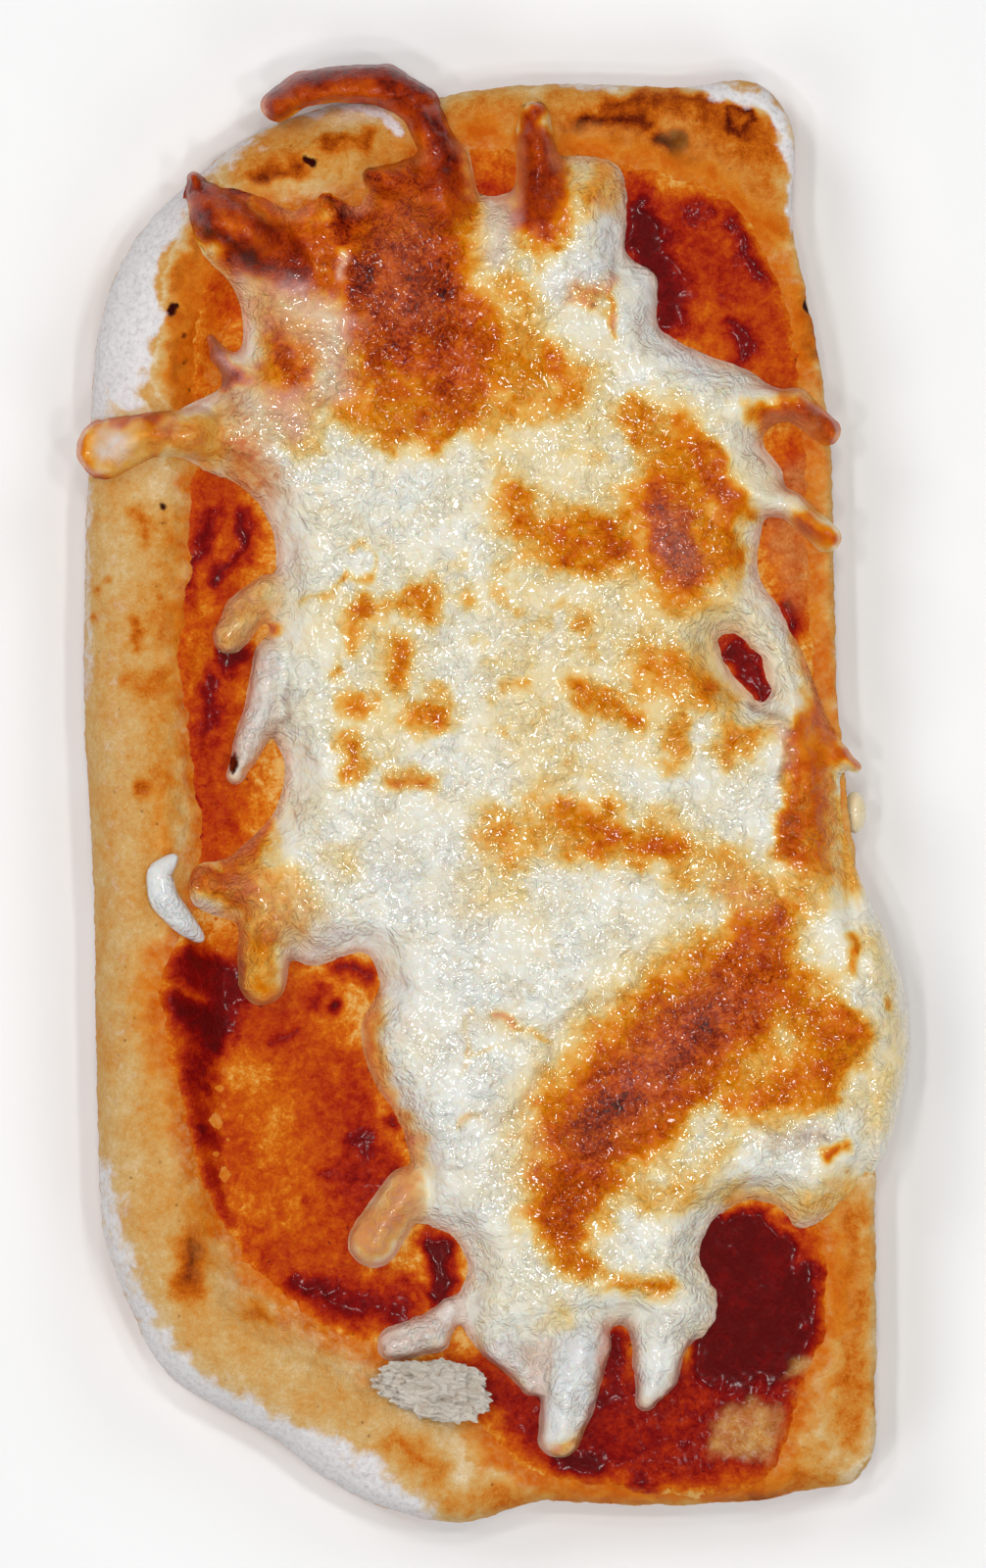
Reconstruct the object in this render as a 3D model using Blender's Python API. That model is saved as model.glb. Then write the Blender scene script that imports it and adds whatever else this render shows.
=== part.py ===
"""A slice of cheese pizza cut from a long tray pizza, lying flat as it is served.

The left end keeps the puffed, floured rim with its two round corners, the right side is the straight
cut, and the short top and bottom edges are baked. Tomato sauce covers the dough inside the rim, and
melted mozzarella lies on the sauce, with strands that ran off it, hung over the edges and browned.

Run it with: blender --background --python part.py
Tables and sizes are in millimetres. X runs from the rim to the cut side, Y along the slice, Z up.
The origin is on the flat base, under the middle of the whole slice.
"""

import math

import bmesh
import bpy
import numpy as np
from mathutils import Matrix, Vector
from mathutils.geometry import delaunay_2d_cdt

MM = 0.001

# Driving sizes of the dough.
MIDDLE_HEIGHT = 12.5
RIM_RISE = 4.5
RIM_WIDTH = 13.5
RIM_FADE = 4.0
RIM_SIDE_RADIUS = 7.0
EDGE_SIDE_RADIUS = 3.5
CUT_SIDE_RADIUS = 1.2
RIM_WIDEST_AT = 7.0
RIM_FOOT_RADIUS = 5.0
EDGE_FOOT_RADIUS = 1.5
CUT_FOOT_RADIUS = 0.8
RIM_FLANK = 2.0
EDGE_WALL = (1.6, MIDDLE_HEIGHT - 3.6)
CUT_WALL = (0.7, MIDDLE_HEIGHT - 1.0)

# Where the rim end gives way to the flat middle, and where the straight cut runs.
RIM_SHARE_X = (-26.0, 8.0)
RIM_SHARE_LEAN = 0.06
CUT_X = 44.8
CUT_LEAN = 0.068
CUT_BAND = (7.0, 3.0)
CUT_ENDS = (88.0, 92.0)

# Swellings of the dough: rise, middle (x, y) and reach (x, y) of each mound.
DOME = (2.6, -21.0, 84.0, 11.0, 6.0)
SHELF = (1.2, -35.5, 16.0, 4.5, 24.0)
BROAD_SWELL = 0.5
LOW_SWELL = 0.35

# The layers on it.
GAP = 0.3
SAUCE_THICKNESS = 0.9
CHEESE_THICKNESS = 3.4
CHEESE_LIP = 2.6
CHEESE_EDGE = 0.5
CHEESE_LUMPS = 0.55
MELT = 1.6
FUSE = 0.8
STRAND_SKIRT = 0.6
DROOP_DEPTH = 9.0
DROOP_REACH = 5.5
CLING = 1.6
SAUCE_BANK = (-2.5, 0.5)
BURIED_DEPTH = 3.0
BURIED_FROM = (-0.4, 0.6)

# The dough seen from above, round from the lower left: floured rim, bottom edge, cut side, top edge.
DOUGH_OUTLINE = (
    (-54.2, 32.0), (-54.4, 14.0), (-53.0, -18.0), (-52.5, -48.0), (-51.6, -59.5), (-49.2, -66.6),
    (-43.7, -76.8), (-30.3, -85.3), (-16.0, -94.6), (-4.3, -97.1), (6.0, -94.4), (18.0, -94.8),
    (37.3, -93.9), (44.0, -92.4), (47.8, -92.0), (49.8, -89.6), (50.8, -79.5), (50.9, -60.0),
    (50.6, -38.0), (48.6, -12.0), (46.6, 4.0), (45.4, 27.0), (45.0, 45.0), (42.4, 63.0),
    (39.9, 75.0), (38.9, 90.8), (36.8, 93.6), (24.5, 94.0), (2.0, 94.1), (-9.5, 92.4),
    (-20.5, 91.8), (-29.6, 88.8), (-40.7, 81.0), (-47.8, 73.3), (-52.4, 62.0), (-53.6, 49.0),
)

# Where the sauce was spread, inside the rim and up to a finger's breadth from the cut.
SAUCE_OUTLINE = (
    (-39.5, 42.0), (-41.0, 15.0), (-39.0, -10.0), (-45.0, -26.0), (-41.5, -42.0), (-37.0, -57.0),
    (-26.0, -69.5), (-6.0, -79.5), (3.0, -90.0), (12.0, -92.6), (36.0, -92.0), (42.0, -78.0),
    (45.0, -69.0), (43.5, -52.0), (46.0, -30.0), (44.5, 2.0), (43.0, 30.0), (42.0, 52.0),
    (39.0, 68.0), (31.0, 80.0), (16.0, 84.5), (-6.0, 86.0), (-20.0, 77.5), (-34.0, 77.0),
    (-40.5, 62.0),
)

# The melted sheet without its strands, clockwise from the upper left.
CHEESE_OUTLINE = (
    (-34.0, 66.0), (-39.5, 73.0), (-40.5, 80.0), (-35.0, 80.6), (-30.5, 79.0), (-26.0, 77.0),
    (-21.8, 80.0), (-18.0, 77.5), (-16.0, 82.0), (-9.0, 84.5), (-3.7, 85.5), (-2.0, 79.5),
    (2.0, 79.5), (10.5, 84.5), (16.5, 83.2), (18.0, 77.0), (18.0, 71.5), (21.7, 69.0),
    (22.6, 61.5), (27.5, 58.5), (34.8, 55.5), (37.5, 52.5), (35.8, 46.2), (38.4, 42.6),
    (36.0, 36.0), (35.2, 29.2), (39.0, 23.0), (43.2, 13.0), (45.8, 6.0), (46.4, -4.0),
    (48.0, -9.5), (50.0, -14.5), (53.0, -21.0), (55.2, -28.0), (55.5, -34.0), (54.6, -39.0),
    (53.0, -45.0), (50.5, -50.5), (46.2, -54.8), (40.0, -57.6), (38.4, -55.5), (34.2, -54.0),
    (29.2, -57.2), (28.0, -61.5), (30.4, -67.0), (28.8, -71.8), (24.0, -73.6), (17.0, -70.6),
    (12.0, -72.0), (4.5, -74.5), (-1.5, -74.0), (-4.8, -68.0), (-3.3, -62.5), (-6.0, -58.4),
    (-9.6, -57.0), (-10.8, -49.0), (-12.8, -42.8), (-16.2, -37.5), (-17.5, -31.0), (-15.0, -25.2),
    (-16.6, -21.5), (-24.0, -23.0), (-33.0, -17.5), (-40.0, -14.2), (-40.0, -10.5), (-34.0, -7.5),
    (-28.6, -1.6), (-27.6, 3.5), (-29.6, 9.0), (-30.0, 19.0), (-28.6, 29.0), (-29.2, 34.5),
    (-32.0, 39.5), (-38.0, 42.5), (-41.5, 46.0), (-40.5, 51.0), (-36.5, 53.5), (-33.5, 58.5),
)

# Strands, tongues and drips that ran off the sheet: (x, y, half width) along each, then its height.
CHEESE_STRANDS = {
    "top_loop": (((-28.6, 91.2, 2.2), (-25.5, 93.6, 2.6), (-20.0, 94.2, 2.6), (-14.5, 94.2, 2.9),
                  (-9.8, 91.0, 2.9), (-7.4, 86.0, 2.6), (-6.0, 80.0, 3.4)), 4.2),
    "horn": (((-39.6, 81.6, 0.9), (-37.6, 77.5, 2.4), (-33.0, 74.0, 3.4), (-27.0, 70.0, 3.6)), 4.6),
    "upper_fold": (((-16.4, 81.8, 0.8), (-12.0, 80.5, 2.6), (-6.5, 77.0, 3.4)), 4.6),
    "top_finger": (((5.4, 90.0, 2.2), (5.7, 85.0, 2.7), (6.6, 77.0, 3.6)), 5.0),
    "side_nub": (((-51.0, 45.6, 4.2), (-45.5, 47.4, 3.2), (-39.0, 47.5, 3.0)), 5.6),
    "side_thorn": (((-37.4, 60.2, 0.5), (-36.2, 58.0, 1.3), (-33.5, 55.5, 2.0)), 3.6),
    "edge_run_high": (((34.0, 51.0, 2.4), (40.0, 51.6, 2.2), (44.2, 48.0, 1.9)), 3.6),
    "edge_run_low": (((33.0, 40.0, 2.6), (39.5, 38.2, 1.9), (44.3, 33.8, 1.9)), 3.6),
    "edge_thorn": (((43.0, 6.4, 2.2), (46.4, 4.4, 1.4), (48.2, 3.4, 0.8)), 2.4),
    "left_flake": (((-30.0, 26.6, 2.4), (-33.4, 23.4, 2.8), (-35.0, 20.6, 2.4)), 3.2),
    "left_flap": (((-29.5, 18.0, 2.2), (-30.6, 11.0, 2.4), (-33.0, 5.0, 1.9), (-34.2, 2.4, 1.3)), 2.8),
    "finger_down": (((-29.0, -14.0, 4.4), (-30.3, -20.0, 3.6), (-30.6, -25.0, 3.2)), 4.4),
    "clear_drop": (((-11.5, -53.0, 3.2), (-15.8, -59.5, 3.5)), 3.0),
    "pink_scrap": (((-5.8, -68.6, 1.6), (-8.0, -71.6, 2.8), (-13.0, -73.2, 2.4)), 2.4),
    "tongue_short": (((1.0, -73.0, 2.6), (4.0, -76.6, 2.0), (5.0, -78.6, 1.4)), 3.4),
    "tongue_long": (((11.4, -73.0, 4.4), (10.0, -80.5, 3.7), (8.8, -85.4, 2.9)), 4.2),
    "tongue_right": (((22.2, -71.5, 4.0), (21.6, -77.5, 3.0), (20.3, -80.4, 1.6)), 3.8),
}

# One window in the sheet shows the sauce: (x, y, half width) along it.
CHEESE_WINDOW = ((31.5, 19.6, 1.5), (33.6, 16.8, 2.2), (35.4, 13.6, 1.1))

# Small separate pieces.
CURL = (
    (-41.8, -8.2, 0.7), (-44.2, -10.6, 1.7), (-43.6, -14.0, 2.0), (-41.0, -17.2, 1.6), (-38.4, -19.6, 0.8),
)
CURL_LIFT = 1.0
SIDE_DROP = (48.2, -2.6, 8.6)
SIDE_DROP_SIZE = (1.5, 2.8, 2.2)
CRUMB = (-7.6, -79.0)
CRUMB_SIZE = (14.0, 7.6, 3.6)
CRUMB_TURN = math.radians(-8)
CRUMB_LIFT = 1.2
CRUMB_LUMPS = 0.35
CRUMB_JAGS = ((0.10, 5, 1.0), (0.07, 11, 0.0))

# How finely the shapes are divided. The insets are rows of points that follow an outline inside it.
DOUGH_STEP = 5.0
DOUGH_SPACING = 8.0
DOUGH_INSETS = (0.5, 1.8, 4.2)
DOUGH_WALL_ROWS = 2
CHEESE_STEP = 2.8
CHEESE_SPACING = 5.0
CHEESE_INSETS = (0.8, 2.0)
SAUCE_STEP = 5.0
FIELD_STEP = 1.0
SHORTEST_OUTLINE = 9.0
PLAN_REACH = (60.0, 102.0)
CUTTER_HEIGHTS = (5.0, 40.0)
SAME_POINT = 1e-6

COLORS = {
    "dough": ((0.70, 0.45, 0.20), 0.75),
    "sauce": ((0.36, 0.035, 0.012), 0.35),
    "cheese": ((0.86, 0.80, 0.62), 0.30),
    "crumb": ((0.82, 0.74, 0.58), 0.85),
}


def smoothstep(value, low, high):
    t = np.clip((value - low) / (high - low), 0.0, 1.0)
    return t * t * (3.0 - 2.0 * t)


def closed_spline(points, step):
    """Points about every step along a smooth closed line through the given ones."""
    p = np.array(points, float)
    before, after = np.roll(p, 1, axis=0), np.roll(p, -1, axis=0)
    reach_back = np.linalg.norm(p - before, axis=1)[:, None]
    reach_on = np.linalg.norm(after - p, axis=1)[:, None]
    slope = reach_on * (p - before) / reach_back + reach_back * (after - p) / reach_on
    slope /= reach_back + reach_on
    line = []
    for i in range(len(p)):
        j = (i + 1) % len(p)
        count = max(2, int(round(reach_on[i, 0] / step)))
        t = (np.arange(count) / count)[:, None]
        line.append(
            (2 * t**3 - 3 * t**2 + 1) * p[i] + (t**3 - 2 * t**2 + t) * reach_on[i] * slope[i]
            + (3 * t**2 - 2 * t**3) * p[j] + (t**3 - t**2) * reach_on[i] * slope[j]
        )
    return np.concatenate(line)


def enclosed(lines, x, y):
    """Whether each point lies inside the closed lines, where a line within another is a hole."""
    inside = np.zeros(np.shape(x), bool)
    for line in lines:
        for (ax, ay), (bx, by) in zip(line, np.roll(line, -1, axis=0)):
            if ay != by:
                crosses = (ay > y) != (by > y)
                inside ^= crosses & (x < ax + (y - ay) * (bx - ax) / (by - ay))
    return inside


def inside_distance(line, x, y):
    """Distance from each point to a closed line, positive inside it."""
    nearest = np.full(np.shape(x), np.inf)
    for (ax, ay), (bx, by) in zip(line, np.roll(line, -1, axis=0)):
        dx, dy = bx - ax, by - ay
        t = np.clip(((x - ax) * dx + (y - ay) * dy) / (dx * dx + dy * dy), 0.0, 1.0)
        nearest = np.minimum(nearest, np.hypot(x - ax - t * dx, y - ay - t * dy))
    return np.where(enclosed([line], x, y), nearest, -nearest)


def along_strand(strand, x, y):
    """For each point, its distance to the strand's spine and the half width there."""
    distance = np.full(np.shape(x), np.inf)
    width = np.zeros(np.shape(x))
    for (ax, ay, ar), (bx, by, br) in zip(strand[:-1], strand[1:]):
        dx, dy = bx - ax, by - ay
        t = np.clip(((x - ax) * dx + (y - ay) * dy) / (dx * dx + dy * dy), 0.0, 1.0)
        found = np.hypot(x - ax - t * dx, y - ay - t * dy)
        width = np.where(found < distance, ar + t * (br - ar), width)
        distance = np.minimum(distance, found)
    return distance, width


def melt_together(a, b, reach):
    """The larger of two fields, with a soft fillet where they meet."""
    share = np.clip(0.5 + 0.5 * (a - b) / reach, 0.0, 1.0)
    return b + (a - b) * share + reach * share * (1.0 - share)


# The outlines as closed lines of points, each as closely spaced as its curves need.
DOUGH_LINE = closed_spline(DOUGH_OUTLINE, 1.5)
SAUCE_LINE = closed_spline(SAUCE_OUTLINE, 2.0)
CHEESE_LINE = closed_spline(CHEESE_OUTLINE, 1.0)


def dough_field(x, y):
    return inside_distance(DOUGH_LINE, x, y)


def cheese_field(x, y):
    field = inside_distance(CHEESE_LINE, x, y)
    for spine, _ in CHEESE_STRANDS.values():
        distance, width = along_strand(spine, x, y)
        field = melt_together(field, width - distance, MELT)
    distance, width = along_strand(CHEESE_WINDOW, x, y)
    return np.minimum(field, distance - width)


def rim_share(x, y):
    """1 at the rim end, 0 towards the cut side."""
    return 1.0 - smoothstep(x + RIM_SHARE_LEAN * np.abs(y), *RIM_SHARE_X)


def cut_share(x, y):
    """1 beside the straight cut on the right, 0 elsewhere."""
    cut_x = CUT_X - CUT_LEAN * y
    beside = smoothstep(x, cut_x - CUT_BAND[0], cut_x - CUT_BAND[1])
    return beside * (1.0 - smoothstep(np.abs(y), *CUT_ENDS))


def mound(x, y, rise, cx, cy, rx, ry):
    return rise * np.exp(-(((x - cx) / rx) ** 2) - ((y - cy) / ry) ** 2)


def dough_height(x, y, inside):
    """The top of the dough before its edge is rounded off."""
    rim = rim_share(x, y) * (1.0 - smoothstep(inside, RIM_WIDTH - RIM_FADE, RIM_WIDTH + RIM_FADE))
    mounds = mound(x, y, *DOME) + mound(x, y, *SHELF)
    swell = BROAD_SWELL * np.sin(x / 11.0 + 0.8) * np.cos(y / 17.0 + 0.3)
    swell += LOW_SWELL * np.sin(y / 9.0 - x / 21.0)
    return MIDDLE_HEIGHT + RIM_RISE * rim + mounds + swell


def rounded(inside, radius):
    """A quarter ellipse: 0 at the edge, 1 from the radius inwards."""
    return np.sqrt(1.0 - (1.0 - np.clip(inside / radius, 0.0, 1.0)) ** 2)


def by_side(x, y, rim, edge, cut):
    """A size that changes round the slice, from the rim's value to the edges' and the cut's."""
    share = rim_share(x, y)
    size = edge + share * (rim - edge)
    return size + cut_share(x, y) * (cut - size)


def wall_top(x, y):
    """Height of the top of the dough's side wall."""
    return by_side(x, y, RIM_WIDEST_AT + RIM_FLANK, EDGE_WALL[1], CUT_WALL[1])


def wall_foot(x, y):
    """Height of the bottom of the dough's side wall."""
    return by_side(x, y, RIM_WIDEST_AT - RIM_FLANK, EDGE_WALL[0], CUT_WALL[0])


def dough_top(x, y, inside=None):
    inside = dough_field(x, y) if inside is None else inside
    radius = by_side(x, y, RIM_SIDE_RADIUS, EDGE_SIDE_RADIUS, CUT_SIDE_RADIUS)
    edge = wall_top(x, y)
    return edge + (dough_height(x, y, inside) - edge) * rounded(inside, radius)


def dough_bottom(x, y):
    inside = dough_field(x, y)
    radius = by_side(x, y, RIM_FOOT_RADIUS, EDGE_FOOT_RADIUS, CUT_FOOT_RADIUS)
    return wall_foot(x, y) * (1.0 - rounded(inside, radius))


def cheese_underside(x, y):
    """Where the melted sheet lies: on the sauce, and bending down where it runs off the dough."""
    inside = dough_field(x, y)
    lying = dough_top(x, y, np.maximum(inside, CLING))
    on_sauce = smoothstep(inside_distance(SAUCE_LINE, x, y), *SAUCE_BANK)
    hanging = DROOP_DEPTH * (1.0 - np.sqrt(1.0 - np.clip(-inside / DROOP_REACH, 0.0, 1.0) ** 2))
    return lying + GAP + on_sauce * (SAUCE_THICKNESS + GAP) - hanging


def cheese_top(x, y):
    """The sheet's upper face: a rounded lip all round, low lumps, and the strands standing proud."""
    inside = cheese_field(x, y)
    lumps = np.sin(x / 4.1 + 1.3 * np.sin(y / 13.0)) * np.sin(y / 5.3 - x / 17.0)
    thick = (CHEESE_THICKNESS + CHEESE_LUMPS * lumps) * rounded(inside, CHEESE_LIP)
    for spine, height in CHEESE_STRANDS.values():
        distance, width = along_strand(spine, x, y)
        across = distance / (width + STRAND_SKIRT)
        ridge = np.where(across < 1.0, height * np.sqrt(np.clip(1.0 - across**2, 0.0, 1.0)), -FUSE)
        thick = melt_together(thick, ridge, FUSE)
    return cheese_underside(x, y) + CHEESE_EDGE + thick


def level_lines(values, xs, ys):
    """Closed lines where gridded values cross zero, with the positive side on their left."""
    inside = values > 0.0
    onward, place = {}, {}
    mixed = inside[:-1, :-1].astype(int) + inside[1:, :-1] + inside[1:, 1:] + inside[:-1, 1:]
    for column, row in np.argwhere((mixed > 0) & (mixed < 4)):
        corners = [(column + i, row + j) for i, j in ((0, 0), (1, 0), (1, 1), (0, 1))]
        leaving, entering = [], []
        for k in range(4):
            a, b = corners[k], corners[(k + 1) % 4]
            if inside[a] == inside[b]:
                continue
            key = (min(a, b), max(a, b))
            share = values[a] / (values[a] - values[b])
            ends = np.array([(xs[i], ys[j]) for i, j in (a, b)])
            place[key] = ends[0] + share * (ends[1] - ends[0])
            (leaving if inside[a] else entering).append((k, key))
        for k, key in leaving:
            onward[key] = min(entering, key=lambda other: (k - other[0]) % 4)[1]
    lines = []
    while onward:
        key, following = onward.popitem()
        line = [place[key]]
        while following in onward:
            line.append(place[following])
            following = onward.pop(following)
        lines.append(np.array(line))
    return lines


def evenly(line, step):
    """The closed line with points about every step."""
    closed = np.vstack([line, line[:1]])
    along = np.concatenate([[0.0], np.cumsum(np.linalg.norm(np.diff(closed, axis=0), axis=1))])
    count = max(8, int(round(along[-1] / step)))
    at = np.arange(count) / count * along[-1]
    return np.stack([np.interp(at, along, closed[:, 0]), np.interp(at, along, closed[:, 1])], axis=1)


def softened(line, rounds):
    for _ in range(rounds):
        line = 0.5 * line + 0.25 * (np.roll(line, 1, axis=0) + np.roll(line, -1, axis=0))
    return line


def outline_of(field, step):
    """The field's level lines, smoothed and evenly spaced. Scraps too short to matter are left out."""
    xs, ys = (np.arange(-reach, reach + FIELD_STEP, FIELD_STEP) for reach in PLAN_REACH)
    gx, gy = np.meshgrid(xs, ys, indexing="ij")
    lines = [evenly(line, step) for line in level_lines(field(gx, gy), xs, ys)]
    return [softened(line, 1) for line in lines if len(line) * step > SHORTEST_OUTLINE]


def plan_triangles(field, lines, insets, spacing):
    """Triangles that fill the outline, with rows of points along its edge and a triangular grid inside."""
    rows = list(lines)
    for inset in insets:
        for line in lines:
            along = np.roll(line, -1, axis=0) - np.roll(line, 1, axis=0)
            inward = np.stack([-along[:, 1], along[:, 0]], axis=1)
            row = line + inset * inward / np.linalg.norm(inward, axis=1)[:, None]
            rows.append(row[field(row[:, 0], row[:, 1]) > 0.85 * inset])
    gx, gy = np.meshgrid(np.arange(-58.0, 58.0, spacing), np.arange(-100.0, 100.0, spacing * 0.866))
    gx = gx + 0.5 * spacing * (np.arange(len(gx)) % 2)[:, None]
    deep = field(gx, gy) > max(insets) + 0.4 * spacing
    rows.append(np.stack([gx[deep], gy[deep]], axis=1))
    edges, first = [], 0
    for line in lines:
        count = len(line)
        edges += [(first + i, first + (i + 1) % count) for i in range(count)]
        first += count
    points = [Vector(p) for p in np.concatenate(rows)]
    corners, _, triangles, *_ = delaunay_2d_cdt(points, edges, [], 0, 1e-4, False)
    corners, triangles = np.array([tuple(c) for c in corners]), np.array(triangles)
    middle = corners[triangles].mean(axis=1)
    return corners, triangles[enclosed(lines, middle[:, 0], middle[:, 1])].tolist()


def relief_solid(name, field, top, bottom, step, insets, spacing, wall_rows=1):
    """A closed solid over the field's outline, between a top and a bottom surface and a side wall."""
    plan, triangles = plan_triangles(field, outline_of(field, step), insets, spacing)
    x, y = plan[:, 0], plan[:, 1]
    high, low = top(x, y), bottom(x, y)
    mesh = bmesh.new()
    upper = [mesh.verts.new((a * MM, b * MM, c * MM)) for a, b, c in zip(x, y, high)]
    lower = [mesh.verts.new((a * MM, b * MM, c * MM)) for a, b, c in zip(x, y, low)]
    border = set()
    for a, b, c in triangles:
        mesh.faces.new((upper[a], upper[b], upper[c]))
        mesh.faces.new((lower[c], lower[b], lower[a]))
        border |= {(a, b), (b, c), (c, a)}
    border = sorted((a, b) for a, b in border if (b, a) not in border)
    columns = {}
    for a, _ in border:
        between = [
            mesh.verts.new(upper[a].co.lerp(lower[a].co, k / wall_rows)) for k in range(1, wall_rows)
        ]
        columns[a] = [upper[a], *between, lower[a]]
    for a, b in border:
        for k in range(wall_rows):
            mesh.faces.new((columns[a][k], columns[a][k + 1], columns[b][k + 1], columns[b][k]))
    return mesh_object(name, mesh)


def mesh_object(name, mesh):
    bmesh.ops.remove_doubles(mesh, verts=mesh.verts, dist=SAME_POINT)
    bmesh.ops.delete(mesh, geom=[v for v in mesh.verts if not v.link_faces], context="VERTS")
    bmesh.ops.recalc_face_normals(mesh, faces=mesh.faces)
    data = bpy.data.meshes.new(name)
    mesh.to_mesh(data)
    mesh.free()
    data.shade_smooth()
    return bpy.data.objects.new(name, data)


def prism(name, line, low, high):
    """An upright solid over a closed line, from a flat 2D curve extruded both ways."""
    curve = bpy.data.curves.new(name, "CURVE")
    curve.dimensions = "2D"
    curve.fill_mode = "BOTH"
    curve.extrude = (high - low) / 2 * MM
    spline = curve.splines.new("POLY")
    spline.points.add(len(line) - 1)
    for point, (x, y) in zip(spline.points, line):
        point.co = (x * MM, y * MM, 0.0, 1.0)
    spline.use_cyclic_u = True
    flat = bpy.data.objects.new(name + "_curve", curve)
    bpy.context.scene.collection.objects.link(flat)
    flat.location.z = (high + low) / 2 * MM
    bpy.context.view_layer.update()
    graph = bpy.context.evaluated_depsgraph_get()
    data = bpy.data.meshes.new_from_object(flat.evaluated_get(graph))
    data.transform(flat.matrix_world)
    bpy.data.objects.remove(flat)
    mesh = bmesh.new()
    mesh.from_mesh(data)
    bmesh.ops.remove_doubles(mesh, verts=mesh.verts, dist=SAME_POINT)
    bpy.data.meshes.remove(data)
    return mesh_object(name, mesh)


def grown_copy(obj, name, lift):
    """The object's own relief, raised by the lift and widened by a gap all round."""
    copy = bpy.data.objects.new(name, obj.data.copy())
    half_width, half_length = obj.dimensions.x / 2 / MM, obj.dimensions.y / 2 / MM
    wider = Matrix.Diagonal((1 + GAP / half_width, 1 + GAP / half_length, 1.0, 1.0))
    copy.data.transform(Matrix.Translation((0.0, 0.0, lift * MM)) @ wider)
    return copy


def as_cutter(obj, collection):
    collection.objects.link(obj)
    obj.hide_render = True
    obj.display_type = "WIRE"
    return obj


def boolean(obj, other, operation):
    modifier = obj.modifiers.new(operation.title(), "BOOLEAN")
    modifier.operation = operation
    modifier.object = other
    modifier.solver = "EXACT"


def surface_material(name):
    color, roughness = COLORS[name]
    material = bpy.data.materials.new(name)
    material.use_nodes = True
    shader = material.node_tree.nodes["Principled BSDF"]
    shader.inputs["Base Color"].default_value = (*color, 1.0)
    shader.inputs["Roughness"].default_value = roughness
    shader.inputs["Metallic"].default_value = 0.0
    return material


def make_dough():
    return relief_solid(
        "dough", dough_field, dough_top, dough_bottom,
        DOUGH_STEP, DOUGH_INSETS, DOUGH_SPACING, DOUGH_WALL_ROWS,
    )


def make_sauce(cutters, dough):
    """The dough's own relief lifted by the layer's thickness, inside the sauce's outline."""
    sauce = prism("tomato_sauce", closed_spline(SAUCE_OUTLINE, SAUCE_STEP), *CUTTER_HEIGHTS)
    above = as_cutter(grown_copy(dough, "sauce_surface", GAP + SAUCE_THICKNESS), cutters)
    below = as_cutter(grown_copy(dough, "sauce_bed", GAP), cutters)
    boolean(sauce, above, "INTERSECT")
    boolean(sauce, below, "DIFFERENCE")
    return sauce


def make_sauce_room(cutters, dough):
    """The space that the sauce takes, with a gap round it, to cut from what lies on it."""
    line = closed_spline(SAUCE_OUTLINE, SAUCE_STEP)
    middle = line.mean(axis=0)
    reach = np.abs(line - middle).max(axis=0)
    wider = middle + (line - middle) * (1 + 2 * GAP / reach)
    room = as_cutter(prism("sauce_room", wider, *CUTTER_HEIGHTS), cutters)
    lid = as_cutter(grown_copy(dough, "sauce_lid", GAP + SAUCE_THICKNESS + GAP), cutters)
    boolean(room, lid, "INTERSECT")


def clear_of_layers(obj, cutters):
    boolean(obj, cutters.objects["sauce_room"], "DIFFERENCE")
    boolean(obj, cutters.objects["sauce_bed"], "DIFFERENCE")


def make_cheese(cutters):
    def buried(x, y):
        on_dough = smoothstep(dough_field(x, y), *BURIED_FROM)
        return cheese_underside(x, y) - BURIED_DEPTH * on_dough

    cheese = relief_solid(
        "mozzarella", cheese_field, cheese_top, buried, CHEESE_STEP, CHEESE_INSETS, CHEESE_SPACING
    )
    clear_of_layers(cheese, cutters)
    return cheese


def make_curl(cutters):
    """A white crescent of cheese that bent off the sheet, thick in the middle and thin at both ends."""
    curve = bpy.data.curves.new("cheese_curl", "CURVE")
    curve.dimensions = "3D"
    curve.bevel_depth = MM
    curve.bevel_resolution = 2
    curve.use_fill_caps = True
    spline = curve.splines.new("POLY")
    spline.points.add(len(CURL) - 1)
    for point, (x, y, radius) in zip(spline.points, CURL):
        z = float(dough_top(np.array([x]), np.array([y]))[0]) + CURL_LIFT
        point.co = (x * MM, y * MM, z * MM, 1.0)
        point.radius = radius
    tube = bpy.data.objects.new("cheese_curl_curve", curve)
    bpy.context.scene.collection.objects.link(tube)
    bpy.context.view_layer.update()
    data = bpy.data.meshes.new_from_object(tube.evaluated_get(bpy.context.evaluated_depsgraph_get()))
    bpy.data.objects.remove(tube)
    mesh = bmesh.new()
    mesh.from_mesh(data)
    curl = mesh_object("cheese_curl", mesh)
    clear_of_layers(curl, cutters)
    return curl


def make_side_drop(cutters):
    """A bead of cheese that ran down the cut side."""
    mesh = bmesh.new()
    bmesh.ops.create_icosphere(mesh, subdivisions=2, radius=1.0)
    bmesh.ops.scale(mesh, vec=SIDE_DROP_SIZE, verts=mesh.verts)
    bmesh.ops.translate(mesh, vec=SIDE_DROP, verts=mesh.verts)
    bmesh.ops.scale(mesh, vec=(MM, MM, MM), verts=mesh.verts)
    drop = mesh_object("cheese_drop", mesh)
    clear_of_layers(drop, cutters)
    return drop


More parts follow.
